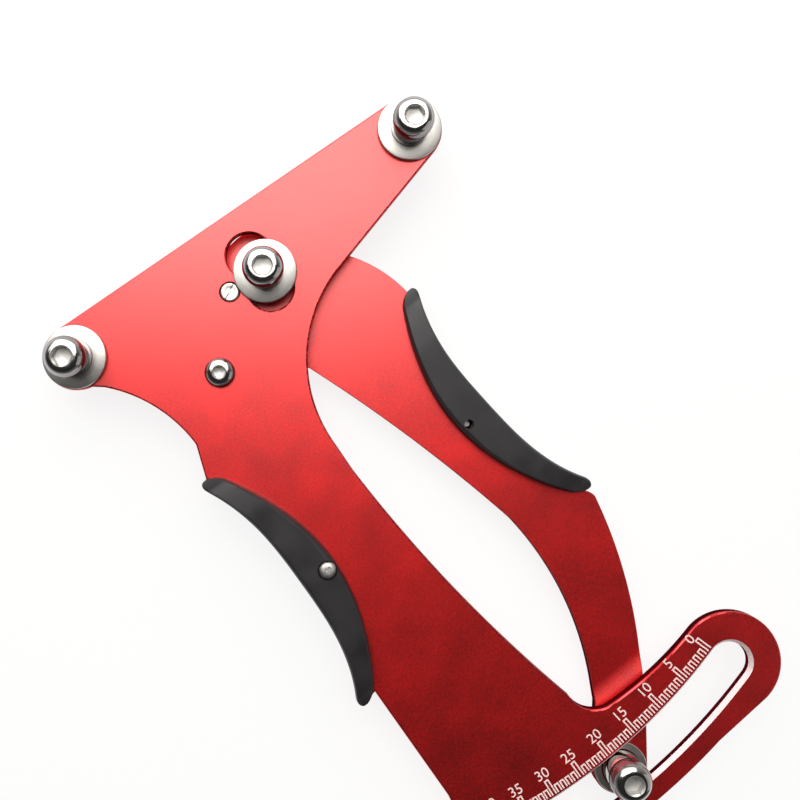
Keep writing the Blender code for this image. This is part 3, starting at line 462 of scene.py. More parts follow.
def frame_outline():
    """Head, handle and scale arm in one outline, counter-clockwise from the head's top left."""
    cap_start = polar(SCALE_RADIUS, SCALE_START_ANGLE)
    cap_end = polar(SCALE_RADIUS, SCALE_END_ANGLE)
    outline = Outline(polar(HEAD_END_RADIUS, 90.0, LEFT_POST))
    outline.turn(LEFT_POST, HEAD_END_RADIUS, 90.0, HEAD_END_TURN)
    corner_y = POST_LINE_Y - HEAD_END_RADIUS - HEAD_CORNER_DROP
    outline.line((LEFT_POST[0] + HEAD_CORNER_INSET, corner_y))
    outline.bow(-HANDLE_NECK_BULGE, HANDLE_NECK)
    outline.line(*grip_plate_edge(place_left_grip, 1.0)[:-1])
    outline.line((HANDLE_HEEL_X, LEFT_GRIP_CENTRE[1] - GRIP_HALF_CHORD + HANDLE_HEEL_RISE),
                 (HANDLE_FOOT_X, HANDLE_FOOT_RISE - SCALE_RADIUS))
    outline.bow(-HANDLE_FOOT_BULGE, polar(SCALE_CAP_RADIUS, SCALE_CAP_LOW_TURN, cap_end))
    outline.turn(cap_end, SCALE_CAP_RADIUS, SCALE_CAP_LOW_TURN,
                 SCALE_END_ANGLE + 360.0 - SCALE_CAP_RUN_ON)
    outline.turn((0.0, 0.0), SCALE_RADIUS + SCALE_SLOT_HALF_WIDTH + SCALE_OUTER_LAND,
                 SCALE_END_ANGLE + SCALE_RIM_INSET, SCALE_START_ANGLE - SCALE_RIM_INSET)
    outline.turn(cap_start, SCALE_CAP_RADIUS, SCALE_START_ANGLE - SCALE_CAP_LEAD,
                 SCALE_CAP_HIGH_TURN)
    outline.bow(-SCALE_INNER_BULGE, polar(SCALE_RADIUS - SCALE_INNER_LAND, SCALE_INNER_ANGLE))
    outline.bow(-WINDOW_FOOT_BULGE, polar(SCALE_RADIUS - WINDOW_FOOT_RISE, WINDOW_FOOT_ANGLE))
    outline.bow(-WINDOW_SIDE_BULGE, (WINDOW_X, WINDOW_SIDE_Y))
    outline.line((WINDOW_X, WINDOW_TOP_Y))
    outline.bow(-HEAD_UNDER_BULGE, HEAD_UNDER)
    outline.turn(RIGHT_POST, HEAD_END_RADIUS, HEAD_UNDER_TURN, 90.0)
    return outline.points


def lever_outline():
    """Pivot eye, grip arm and pointer arm in one outline, counter-clockwise from the pivot."""
    heel_y = RIGHT_GRIP_CENTRE[1] - GRIP_HALF_CHORD - LEVER_HEEL_DROP
    outline = Outline(polar(LEVER_EYE_RADIUS, LEVER_EYE_ARC[0]))
    outline.turn((0.0, 0.0), LEVER_EYE_RADIUS, *LEVER_EYE_ARC)
    outline.turn(PEG, LEVER_PEG_MARGIN, *LEVER_PEG_ARC)
    outline.line(LEVER_THROAT)
    outline.bow(-LEVER_THROAT_BULGE, LEVER_WAIST)
    outline.bow(-LEVER_WAIST_BULGE, polar(SCALE_RADIUS - LEVER_FOOT_RISE, LEVER_FOOT_ANGLE))
    outline.turn(POINTER, LEVER_END_RADIUS, *LEVER_END_ARC)
    outline.line(polar(SCALE_RADIUS - LEVER_TOE_RISE, LEVER_TOE_ANGLE))
    outline.bow(LEVER_TOE_BULGE, (RIGHT_GRIP_CENTRE[0] + LEVER_HEEL_OFFSET, heel_y))
    outline.bow(LEVER_HEEL_BULGE, place_right_grip(LEVER_HEEL_TUCK))
    outline.line(*grip_plate_edge(place_right_grip, -1.0)[2:-2])
    outline.bow(LEVER_SHOULDER_BULGE, LEVER_SHOULDER)
    outline.turn(CENTRE_POST, LEVER_POST_EYE_RADIUS, *LEVER_POST_EYE_ARC)
    return outline.points


def length(name, default, note):
    """A size in metres that the user may change."""
    return FloatProperty(name=name, description=note, default=default, unit="LENGTH", precision=5)


def direction(name, default, note):
    """An angle that the user may change, given here in degrees."""
    return FloatProperty(name=name, description=note, default=radians(default), subtype="ANGLE",
                         precision=7)


def whole(name, default, least, note):
    """A whole number that the user may change."""
    return IntProperty(name=name, description=note, default=default, min=least)


def power(name, default, note):
    """The power of a lamp, in watts, that the user may change."""
    return FloatProperty(name=name, description=note, default=default, min=0.0, unit="POWER")


def fraction(name, default, note):
    """A share of the picture's width that the user may change."""
    return FloatProperty(name=name, description=note, default=default, precision=4)


def linear(hex_text):
    """A screen colour, written #RRGGBB, as the linear colour that a shader takes."""
    parts = [int(hex_text[k:k + 2], 16) / 255.0 for k in (1, 3, 5)]
    return [p / 12.92 if p <= 0.04045 else ((p + 0.055) / 1.055) ** 2.4 for p in parts] + [1.0]


def colour(name, hex_text, note):
    """A colour that the user may change."""
    return FloatVectorProperty(name=name, description=note, default=linear(hex_text), size=4,
                               min=0.0, max=1.0, subtype="COLOR")


class MeterPlates(bpy.types.PropertyGroup):
    edge_break: length("Edge break", 0.0005, "Radius of the rounded edge round each plate and hole")
    bevel_width: length("Bevel width", 0.00095, "Width of the bare bevel round the scale slot")
    bevel_depth: length("Bevel depth", 0.0012, "How far the bevel of the scale slot goes down")
    fold_steps: whole("Fold steps", 14, 2, "Rows of points across each fold of the lever")
    fold_run: length("Fold run", 0.0086, "Length of the fold that is seen beside the scale arm")
    fold_rise: length("Fold rise", 0.0015, "How far the lever rises over that fold")
    second_run: length("Second fold run", 0.0050, "Length of the fold behind the scale arm")


class MeterScale(bpy.types.PropertyGroup):
    marks: whole("Marks", 46, 2, "Number of graduation marks, the zero mark included")
    every: whole("Long mark every", 5, 1, "Each mark with this step is long and has a number")
    first: direction("Zero mark", -70.976, "Direction of the zero mark from the pivot")
    step: direction("Step", -0.7359, "Turn from the zero mark to the next")
    closing: direction("Closing", 0.001818, "How much each step closes up towards high numbers")
    reach: length("Outer radius", 0.1709, "Radius at which every mark ends by the slot")
    short_mark: length("Short mark", 0.0025, "Length of the marks between the numbers")
    long_mark: length("Long mark", 0.0048, "Length of the numbered marks")
    mark_width: length("Mark width", 0.0011, "Distance between the two lines of a mark")
    line_width: length("Line width", 0.00042, "Width of a printed line")
    ink: length("Ink", 0.00003, "How far the print stands off the plate")
    digit_height: length("Digit height", 0.0029, "Height of the numbers")
    digit_radius: length("Digit radius", 0.1655, "Radius of the line that the numbers stand on")
    first_out: length("First out", 0.0005, "How far the nought stands out past other numbers")
    first_round: length("First round", 0.0011, "How far the nought stands round from its mark")


class MeterHardware(bpy.types.PropertyGroup):
    sides: whole("Sides", 96, 24, "Steps round each turned piece")
    edge: length("Edge", 0.0002, "Broken edge of washers, sleeves and spacers")
    socket_lip: length("Socket lip", 0.00035, "Chamfer at the mouth of each hexagon socket")
    glide: length("Glide radius", 0.0076, "Radius of the washer between lever and scale arm")
    thread_pitch: length("Thread pitch", 0.0010, "Pitch of the post screws, seen at their ends")
    wire: length("Spring wire", 2 * WIRE_RADIUS, "Diameter of the spring's wire")
    coil: length("Spring coil", COIL_RADIUS, "Radius of the coil's centre line")
    wire_steps: whole("Wire steps", 64, 12, "Points along one turn of the spring")


class MeterGrips(bpy.types.PropertyGroup):
    stations: whole("Stations", 72, 12, "Sections along each grip")
    section: whole("Section points", 26, 8, "Points round each section")
    seam: length("Seam", SEAT / 2.0, "Half the parting gap between the two shells")


class MeterColours(bpy.types.PropertyGroup):
    plate: colour("Anodised plates", "#D6181A", "Red dye in the anodised film")
    # paler than the plates: painted highlight on the rounded edges
    plate_edge: colour("Anodised edges", "#D0383A", "Rounded edges, where the film is thinner")
    # darker than the plates: painted shade on their sides
    plate_side: colour("Anodised sides", "#5C1420", "Sawn sides, where the dye is deepest")
    # its pink is a painted reflection of the red plates
    slot: colour("Scale slot", "#F4DEE0", "Bare metal of the bevel round the slot")
    steel: colour("Bright steel", "#C9C7C5", "Polished stainless screws and sleeves")
    washer: colour("Washers", "#C4C1BE", "Turned and tumbled stainless washers")
    wire: colour("Spring wire", "#6E6C6B", "Oiled spring steel")
    grip: colour("Grips", "#232124", "Moulded black nylon")
    dark: colour("Dark washer", "#4A4442", "Black oxide on steel")
    print: colour("Print", "#F6D9D8", "Screen printed scale and numbers")
    floor: colour("Floor", "#F4F4F4", "Plain pale studio floor")


class MeterStage(bpy.types.PropertyGroup):
    lens: FloatProperty(name="Lens", description="Focal length on a 36 mm sensor", default=37.8,
                        min=1.0, unit="CAMERA")
    shift_x: fraction("Shift across", 0.109, "Share of the frame that the lens shifts across")
    shift_y: fraction("Shift up", -0.031, "Share of the frame that the lens shifts up")
    distance: length("Camera height", 0.2531, "Height of the camera over the pin's back face")
    turn: direction("Camera turn", -34.33, "Turn of the picture's right side from the posts' line")
    key_power: power("Key light", 3.3, "Power of the large soft lamp over the head")
    sky_power: power("Sky light", 8.5, "Power of the wide lamp beyond the key light")
    fill_power: power("Fill light", 0.5, "Power of the soft lamp on the other side")
    floor_size: length("Floor size", 3.0, "Side of the square floor")


def add(tree, kind, sockets=(), **settings):
    """Add a node with its settings, and give each named socket a value, a link or a sum. A sum
    is a tuple of an operation and what it takes, each of which may be a sum too."""
    made = tree.nodes.new(kind)
    for name, value in settings.items():
        setattr(made, name, value)
    for socket, value in dict(sockets).items():
        if isinstance(value, tuple) and isinstance(value[0], str):
            taken = dict(enumerate(value[1:]))
            value = add(tree, "ShaderNodeMath", taken, operation=value[0]).outputs[0]
        if isinstance(value, bpy.types.NodeSocket):
            tree.links.new(value, made.inputs[socket])
        else:
            made.inputs[socket].default_value = value
    return made


def surface(name, tint, metallic, roughness, **plain):
    """A material with its plain numbers on the shader's own sockets, and its tree and shader."""
    made = bpy.data.materials.new(name)
    made.use_nodes = True
    shader = made.node_tree.nodes["Principled BSDF"]
    plain = {"Base Color": tint, "Metallic": metallic, "Roughness": roughness, **plain}
    for socket, value in plain.items():
        shader.inputs[socket.replace("_", " ")].default_value = value
    return made, made.node_tree, shader


def grains(tree, size_mm, stretch=None, place=None, detail=2.0):
    """Grains of one real size on the piece's own coordinates, drawn out along some of them."""
    if place is None:
        place = add(tree, "ShaderNodeTexCoord").outputs["Object"]
    if stretch:
        drawn = {"Vector": place, "Scale": stretch}
        place = add(tree, "ShaderNodeMapping", drawn).outputs["Vector"]
    looks = {"Vector": place, "Scale": 1000.0 / size_mm, "Detail": detail}
    return add(tree, "ShaderNodeTexNoise", looks).outputs["Fac"]


def between(tree, pattern, ends):
    """A number that runs from one end to the other with a pattern."""
    low, high = ends
    span = {"Value": pattern, "From Min": 0.3, "From Max": 0.7, "To Min": low, "To Max": high}
    return add(tree, "ShaderNodeMapRange", span).outputs["Result"]


def tinted(tree, pattern, tint, shades):
    """The finish's colour made darker and paler by a pattern."""
    # a colour mix has its share in socket 0 and its two colours in sockets 6 and 7
    dark, pale = ([min(1.0, c * shade) for c in tint[:3]] + [1.0] for shade in shades)
    mixed = {0: between(tree, pattern, (0.0, 1.0)), 6: dark, 7: pale}
    return add(tree, "ShaderNodeMix", mixed, data_type="RGBA").outputs[2]


def follow(tree, shader, pattern, tint, shades, gloss=None):
    """Let the colour, and the roughness where it is given, run with a pattern."""
    tree.links.new(tinted(tree, pattern, tint, shades), shader.inputs["Base Color"])
    if gloss:
        tree.links.new(between(tree, pattern, gloss), shader.inputs["Roughness"])


def raised(tree, shader, pattern, height_mm, strength):
    """Bumps of a real height on the shader."""
    looks = {"Height": pattern, "Strength": strength, "Distance": height_mm / 1000.0}
    tree.links.new(add(tree, "ShaderNodeBump", looks).outputs["Normal"], shader.inputs["Normal"])


def anodised_aluminium(tint):
    # Bead blasted, then anodised and dyed: a satin metal with a fine sparkle of grains, and
    # slow changes of depth where the dye took more or less. Blast grains are under 0.1 mm;
    # they are drawn 0.55 mm wide, the smallest that the picture can show.
    made, tree, shader = surface("bead_blasted_red_anodised_aluminium", tint, 1.0, 0.49,
                                 Coat_Weight=1.0, Coat_Roughness=0.3, Coat_IOR=1.7)
    blast = grains(tree, 0.55)
    cloud = grains(tree, 14.0, detail=1.0)
    follow(tree, shader, ("MULTIPLY", ("ADD", blast, cloud), 0.5), tint, (0.72, 1.34))
    tree.links.new(between(tree, blast, (0.45, 0.53)), shader.inputs["Roughness"])
    raised(tree, shader, blast, 0.024, 0.8)
    return made


def anodised_edge(tint):
    # The same film over a rounded edge: the cutter left it smooth, so it is shinier than the
    # blasted faces; its paler tint is a painted highlight, and it reads as a bright line.
    made, tree, shader = surface("milled_edge_red_anodised_aluminium", tint, 1.0, 0.26,
                                 Coat_Weight=0.5, Coat_Roughness=0.2)
    follow(tree, shader, grains(tree, 1.1), tint, (0.85, 1.15), (0.2, 0.34))
    return made


def anodised_side(tint):
    # The same film over the sawn side of a plate, with painted shade: a darkened deep red whose
    # reflection is tinted dark too, with no clear gloss. It draws the dark outline round each
    # plate.
    made, tree, shader = surface("sawn_side_red_anodised_aluminium", tint, 1.0, 0.55,
                                 Specular_Tint=(0.22, 0.05, 0.08, 1.0))
    teeth = grains(tree, 0.6, (1.0, 1.0, 0.1))
    follow(tree, shader, teeth, tint, (0.8, 1.2), (0.5, 0.62))
    return made


def bare_aluminium(tint):
    # Bevel milled after the dyeing and sealed clear: chalky pale metal with upright cutter
    # marks. Its pink tint is a painted reflection of the red beside it.
    made, tree, shader = surface("milled_bare_aluminium", tint, 0.35, 0.5)
    marks = grains(tree, 0.5, (1.0, 1.0, 0.06))
    follow(tree, shader, marks, tint, (0.9, 1.06), (0.42, 0.58))
    raised(tree, shader, marks, 0.008, 0.5)
    return made


def turned_steel(tint, name, roughness, spacing_mm, height_mm, spots=0.04):
    # Stainless steel off the lathe: rings of tool marks that follow the turned profile, which
    # stretch each highlight across the rings. The marks are drawn wider than real ones. Painted
    # shade darkens the rim of each dome and the flange of each sleeve into a dark ring.
    made, tree, shader = surface(name, tint, 1.0, roughness)
    profile = add(tree, "ShaderNodeUVMap", uv_map="profile").outputs["UV"]
    rings = grains(tree, spacing_mm, (0.002, 1.0, 1.0), profile)
    # how much painted shade darkens each point, and the dark colour that it mixes in
    dulled = add(tree, "ShaderNodeAttribute", attribute_name="dulled").outputs["Fac"]
    dark = [c * share for c, share in zip(tint, (0.3, 0.24, 0.27, 1.0))]
    mixed = {0: dulled, 6: tinted(tree, rings, tint, (0.9, 1.06)), 7: dark}
    shown = add(tree, "ShaderNodeMix", mixed, data_type="RGBA")
    gloss = between(tree, grains(tree, 1.8), (roughness - spots, roughness + spots))
    tree.links.new(shown.outputs[2], shader.inputs["Base Color"])
    tree.links.new(gloss, shader.inputs["Roughness"])
    raised(tree, shader, rings, height_mm, 0.5)
    return made


def spring_steel(tint):
    # Drawn spring wire with a film of oil: darker than stainless, and mottled where the film
    # is thicker.
    made, tree, shader = surface("oiled_spring_steel_wire", tint, 1.0, 0.3,
                                 Coat_Weight=0.3, Coat_Roughness=0.12)
    follow(tree, shader, grains(tree, 0.6), tint, (0.8, 1.15), (0.22, 0.4))
    return made


def black_nylon(tint):
    # Glass filled nylon from a spark eroded mould: even satin black with a fine pebble, and
    # faint paler rubbing where fingers polish it.
    made, tree, shader = surface("moulded_black_nylon", tint, 0.0, 0.46, IOR=1.46)
    follow(tree, shader, grains(tree, 9.0), tint, (0.85, 1.25), (0.38, 0.52))
    raised(tree, shader, grains(tree, 0.4), 0.03, 0.6)
    return made


def oxide_steel(tint):
    # Black oxide over a stamped washer: dark brown-black, semi matt, rubbed bright in specks.
    made, tree, shader = surface("black_oxide_steel", tint, 1.0, 0.32)
    follow(tree, shader, grains(tree, 0.5), tint, (0.7, 1.5), (0.26, 0.44))
    return made


def screen_print(tint):
    # Screen printed epoxy ink: flat pale pink-white, with the thin spots that a mesh leaves.
    made, tree, shader = surface("screen_printed_ink", tint, 0.0, 0.5)
    follow(tree, shader, grains(tree, 0.35), tint, (0.9, 1.05))
    return made


def studio_paper(tint):
    # Seamless white paper: it keeps a soft shadow of the tool, and reads white in the picture
    # and in the reflections of the metal.
    made, tree, shader = surface("seamless_white_paper", tint, 0.0, 0.9)
    follow(tree, shader, grains(tree, 3.0), tint, (0.99, 1.01))
    path = add(tree, "ShaderNodeLightPath").outputs
    seen = ("MAXIMUM", ("MAXIMUM", path["Is Camera Ray"], path["Is Glossy Ray"]),
            path["Is Transmission Ray"])
    white = add(tree, "ShaderNodeEmission", {"Strength": 1.0}).outputs[0]
    parts = {0: ("MULTIPLY", seen, PAPER_WHITE), 1: shader.outputs[0], 2: white}
    mixed = add(tree, "ShaderNodeMixShader", parts).outputs[0]
    tree.links.new(mixed, tree.nodes["Material Output"].inputs["Surface"])
    return made


# Each kind of surface: its material's function, the colour it takes, and for turned steel its
# name, roughness, the spacing and height of its tool marks in millimetres, and its spots
FINISHES = {
    "plate": (anodised_aluminium, "plate"),
    "edge": (anodised_edge, "plate_edge"),
    "side": (anodised_side, "plate_side"),
    "slot": (bare_aluminium, "slot"),
    "steel": (turned_steel, "steel", "polished_stainless_steel", 0.12, 0.35, 0.0012),
    "washer": (turned_steel, "washer", "turned_stainless_steel", 0.38, 0.4, 0.004, 0.03),
    "socket": (turned_steel, "steel", "punched_stainless_steel", 0.52, 0.6, 0.004),
    "wire": (spring_steel, "wire"),
    "grip": (black_nylon, "grip"),
    "dark": (oxide_steel, "dark"),
    "print": (screen_print, "print"),
    "floor": (studio_paper, "floor"),
}
MADE_FINISHES = {}


def finish(kind):
    """The material for one kind of surface, made the first time that it is asked for."""
    if kind not in MADE_FINISHES:
        made_by, tint, *looks = FINISHES[kind]
        MADE_FINISHES[kind] = made_by(getattr(bpy.context.scene.meter_colours, tint), *looks)
    return MADE_FINISHES[kind]


def settle(piece, body, slot, *nodes):
    """The piece moves with a body and stands for these nodes of the frame. The slot is not used."""
    if nodes:
        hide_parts(*nodes)
    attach(piece, body)


def linked(name, bm):
    """An object in the scene with the mesh that a bmesh holds."""
    mesh = bpy.data.meshes.new(name)
    bm.to_mesh(mesh)
    bm.free()
    made = bpy.data.objects.new(name, mesh)
    bpy.context.scene.collection.objects.link(made)
    return made


def solid(name, bm, kinds, sharp=SHARP):
    """A piece whose closed surface faces outwards. Its edges are sharp past an angle, and where
    one finish meets another."""
    bmesh.ops.remove_doubles(bm, verts=bm.verts, dist=MERGE)
    bmesh.ops.recalc_face_normals(bm, faces=bm.faces)
    for edge in bm.edges:
        faces = edge.link_faces
        edge.smooth = (len(faces) == 2 and edge.calc_face_angle() < radians(sharp)
                       and faces[0].material_index == faces[1].material_index)
    for face in bm.faces:
        face.smooth = True
    piece = linked(name, bm)
    for kind in kinds:
        piece.data.materials.append(finish(kind))
    return piece


def baked(piece):
    """Give the piece the mesh that its modifiers make, and take the modifiers off."""
    evaluated = piece.evaluated_get(bpy.context.evaluated_depsgraph_get())
    mesh = bpy.data.meshes.new_from_object(evaluated)
    piece.modifiers.clear()
    piece.data = mesh


def cut(piece, bm):
    """Take the closed shape that a bmesh holds out of a piece."""
    bmesh.ops.recalc_face_normals(bm, faces=bm.faces)
    tool = linked("cutter", bm)
    modifier = piece.modifiers.new("cut", "BOOLEAN")
    modifier.operation = "DIFFERENCE"
    modifier.solver = "EXACT"
    modifier.object = tool
    baked(piece)
    bpy.data.objects.remove(tool)
    piece.data.set_sharp_from_angle(angle=radians(SHARP))


def walls(bm, rings):
    """Join each ring of points to the next by a band of faces, and give the bands back."""
    bands = []
    for low, high in zip(rings, rings[1:]):
        corners = zip(low, low[1:] + low[:1], high[1:] + high[:1], high)
        bands.append([bm.faces.new(four) for four in corners])
    return bands


def drill(piece, centre, radius, low, high):
    """Take a round hole out of a piece."""
    bm = bmesh.new()
    hole = circle(radius, centre, DRILL_SIDES)
    rings = [[bm.verts.new((*point, z)) for point in hole] for z in (low, high)]
    walls(bm, rings)
    for ring in rings:
        bm.faces.new(ring)
    cut(piece, bm)


def plate(outline, holes, back, front, edge, wall=None):
    """A flat plate: blasted faces, rounded edges and sawn sides. Where a wall is given, the
    first hole narrows to it from the front face down a bevel of bare metal."""
    bm = bmesh.new()
    borders = ([], [])
    loops = [loop_of(outline, False)] + [loop_of(hole, True) for hole in holes]
    for place, loop in enumerate(loops):
        across = max(x for x, _ in loop) - min(x for x, _ in loop)
        radius = edge if across > SMALL_HOLE else edge * SMALL_HOLE_SHARE
        turns = [radians(turn) for turn in (0, 30, 60)]
        rows = [(inset(loop, radius * (1.0 - sin(t))), radius * (1.0 - cos(t))) for t in turns]
        rows.append((loop, radius))
        rows = ([(points, back + rise) for points, rise in rows]
                + [(points, front - drop) for points, drop in reversed(rows)])
        # front rounded edges take the edge finish with its painted highlight; back edges and sides
        # take the side finish with its painted shade
        kinds = (2, 2, 2, 2, 1, 1, 1)
        if wall and place == 1:
            foot = edge * SLOT_BACK_SHARE
            shoulder = front - bpy.context.scene.meter_plates.bevel_depth
            rows = [(inset(wall, foot), back), (wall, back + foot), (wall, shoulder), (loop, front)]
            # below the bevel, the slot's wall takes the side finish with its painted shade
            kinds = (2, 2, 3)
        rings = [[bm.verts.new((*point, z)) for point in points] for points, z in rows]
        for band, kind in zip(walls(bm, rings), kinds):
            for face in band:
                face.material_index = kind
        for ring, edges in zip((rings[0], rings[-1]), borders):
            edges += [bm.edges.get(pair) for pair in zip(ring, ring[1:] + ring[:1])]
    for edges in borders:
        bmesh.ops.triangle_fill(bm, use_beauty=True, edges=edges)
    return bm


def kept_in(outline, node):
    """The outline held inside the bounds of its solid."""
    low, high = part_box(node)
    return [(min(max(x, low.x), high.x), min(max(y, low.y), high.y)) for x, y in outline]


def turned(name, rings, centre, kind, sides=None, closed=False, sharp=SHARP):
    """A piece turned about an upright axis from rings of (radius, height).

    A third number of 1 makes a ring a hexagon with that inner radius, and a fourth lets its
    height fall or rise with the distance of the corners. Rings end at the axis, or close on
    themselves."""
    sides = sides or bpy.context.scene.meter_hardware.sides
    bm = bmesh.new()
    layer = bm.loops.layers.uv.new("profile")
    rows = []
    run = [0.0]
    for ring, after in zip(rings, rings[1:] + rings[:1]):
        radius, height, flats, slope = (*ring, 0, 0)[:4]
        run.append(run[-1] + hypot(after[0] - radius, after[1] - height))
        row = []
        for k in range(sides if radius else 1):
            angle = 360.0 * k / sides
            bend = cos(radians((angle + 30.0) % 60.0 - 30.0)) if flats else 1.0
            rise = slope * (radius / bend - radius)
            row.append(bm.verts.new((*polar(radius / bend, angle, centre), height + rise)))
        rows.append(row)
    for step in range(len(rows) if closed else len(rows) - 1):
        low, high = rows[step], rows[(step + 1) % len(rows)]
        near, far = run[step:step + 2]
        for k in range(sides):
            after = (k + 1) % sides
            corners = [(low[k % len(low)], k, near), (low[after % len(low)], k + 1, near),
                       (high[after % len(high)], k + 1, far), (high[k % len(high)], k, far)]
            if len(low) == 1:
                del corners[1]
            elif len(high) == 1:
                del corners[2]
            face = bm.faces.new([corner[0] for corner in corners])
            for loop, corner in zip(face.loops, corners):
                loop[layer].uv = (corner[1] / sides, corner[2])
    return solid(name, bm, [kind], sharp)


def dull(piece, centre, start, end, most=1.0):
    """Paint shade on a turned piece: mark how far its colour is darkened, from a start to an end
    radius.
    """
    marks = piece.data.attributes.new("dulled", "FLOAT", "POINT")
    for mark, vert in zip(marks.data, piece.data.vertices):
        radius = hypot(vert.co.x - centre[0], vert.co.y - centre[1])
        mark.value = most * min(1.0, max(0.0, (radius - start) / (end - start)))


def dome(rim, flat, low, high, steps):
    """Rings of a quarter turn from a rim up to a flat."""
    turns = [radians(90.0 * step / steps) for step in range(steps + 1)]
    return [(flat + (rim - flat) * cos(t), low + (high - low) * sin(t)) for t in turns]


def axis_of(node):
    """Centre, outer radius, lowest and highest point of an upright turned solid."""
    low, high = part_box(node)
    centre = ((low.x + high.x) / 2.0, (low.y + high.y) / 2.0)
    return centre, (high.x - low.x) / 2.0, low.z, high.z


def washer(node, bore, body, kind, slot, rounding=1.0):
    """A washer, sleeve or spacer with its edges broken."""
    edge = bpy.context.scene.meter_hardware.edge
    centre, radius, low, high = axis_of(node)
    top = edge * rounding
    rings = [
        (bore + edge, low), (radius - edge, low), (radius, low + edge), (radius, high - top),
        (radius - top * CORNER_SHARE, high - top * CORNER_SHARE), (radius - top, high),
        (bore + edge, high), (bore, high - edge), (bore, low + edge),
    ]
    settle(turned("turned_" + node, rings, centre, kind, closed=True), body, slot, node)


def hexagon_nut(node, bore, flats, body):
    """A hexagon nut: corners turned off at thirty degrees and a chamfer at the bore."""
    centre, _, low, high = axis_of(node)
    apothem = flats / 2.0
    slope = tan(radians(NUT_CORNER_TURN))
    rings = [
        (bore + NUT_LIP, low), (apothem - NUT_FACE_STEP, low), (apothem, low, 1, slope),
        (apothem, high, 1, -slope), (apothem - NUT_FACE_STEP, high), (bore + NUT_LIP, high),
        (bore, high - NUT_LIP), (bore, low + NUT_LIP),
    ]
    nut = turned("hexagon_" + node, rings, centre, "washer", closed=True, sharp=NUT_SHARP)
    settle(nut, body, "stainless", node)


def button_head(node, body, shank, head, nose, pitch):
    """A button head screw with a hexagon socket, and threads on the end that the nut leaves."""
    rim, rim_height, tall, flat, flats, depth = head
    lip = bpy.context.scene.meter_hardware.socket_lip
    centre, _, low, top = axis_of(node)
    seat = top - tall
    floor = top - depth
    rings = [(0.0, low)] + [(shank + out * pitch, low + up * pitch) for out, up in THREAD_START]
    crest = low + pitch * THREAD_FIRST
    while crest < low + nose:
        rings += [(shank + out * pitch, crest + up * pitch) for out, up in THREAD_TURN]
        crest += pitch
    rings += [(shank, crest), (shank, seat), (rim - DOME_EDGE, seat), (rim, seat + DOME_EDGE)]
    rings += dome(rim, flat, seat + rim_height, top, DOME_STEPS)
    mouth = flats / sqrt(3.0) + lip * 0.5
    if mouth < flat - HAIR:
        rings.append((mouth, top))
    rings += [(flats / 2.0, top - lip, 1), (flats / 2.0, floor, 1)]
    rings += [(flats * share, floor - drop) for share, drop in SOCKET_FLOOR]
    piece = turned("socket_" + node, rings, centre, "steel", sharp=SOCKET_SHARP)
    # painted shade: a dark ring over the dome's rim
    dull(piece, centre, (flat + rim) / 2.0, rim)
    piece.data.materials.append(finish("socket"))
    for face in piece.data.polygons:
        spot = face.center
        if seat < spot.z < top - HAIR and hypot(spot.x - centre[0], spot.y - centre[1]) < mouth:
            face.material_index = 1
    settle(piece, body, "stainless", node)


def post_sleeve(node, bore, body):
    """Grooved sleeve of a post: a collar on the washer and a neck that the spoke bears on."""
    centre, collar, low, high = axis_of(node)
    edge = SLEEVE_EDGE
    shoulder = low + COLLAR_HEIGHT
    rings = [(bore, low), (collar - edge, low), (collar, low + edge)]
    rings.append((collar, shoulder - SLEEVE_FLARE))
    for step in range(1, FLARE_STEPS):
        turn = radians(90.0 * step / FLARE_STEPS)
        out = (collar - NECK_RADIUS) * (1.0 - sin(turn))
        rings.append((NECK_RADIUS + out, shoulder - SLEEVE_FLARE * cos(turn)))
    rings += [(NECK_RADIUS, shoulder + SLEEVE_FLARE), (NECK_RADIUS, high - edge)]
    rings += [(NECK_RADIUS - edge, high), (bore, high)]
    piece = turned("turned_" + node, rings, centre, "washer", closed=True)
    # painted shade: a dark ring at half strength over the flange
    dull(piece, centre, NECK_RADIUS, NECK_RADIUS + edge, 0.5)
    settle(piece, body, "stainless", node)


def rule_tree(name, sizes):
    """A node tree with a named input for each size, and those inputs."""
    tree = bpy.data.node_groups.new(name, "GeometryNodeTree")
    face = tree.interface
    face.new_socket("Geometry", in_out="OUTPUT", socket_type="NodeSocketGeometry")
    for label, value in sizes.items():
        kind = "NodeSocketInt" if isinstance(value, int) else "NodeSocketFloat"
        face.new_socket(label, in_out="INPUT", socket_type=kind)
    return tree, tree.nodes.new("NodeGroupInput").outputs


def spun(tree, radius, aside, angle, height):
    """The spot at a radius from the pivot and a distance aside of it, turned by an angle."""
    along, across = ("COSINE", angle), ("SINE", angle)
    x = ("SUBTRACT", ("MULTIPLY", radius, along), ("MULTIPLY", aside, across))
    y = ("ADD", ("MULTIPLY", radius, across), ("MULTIPLY", aside, along))
    return add(tree, "ShaderNodeCombineXYZ", {"X": x, "Y": y, "Z": height}).outputs[0]


def points_at(tree, count, spot):
    """As many points as a count, each moved to its spot."""
    line = add(tree, "GeometryNodeMeshLine", {"Count": count, "Offset": (0.0, 0.0, 0.0)})
    moved = {"Geometry": line.outputs[0], "Position": spot}
    return add(tree, "GeometryNodeSetPosition", moved).outputs[0]


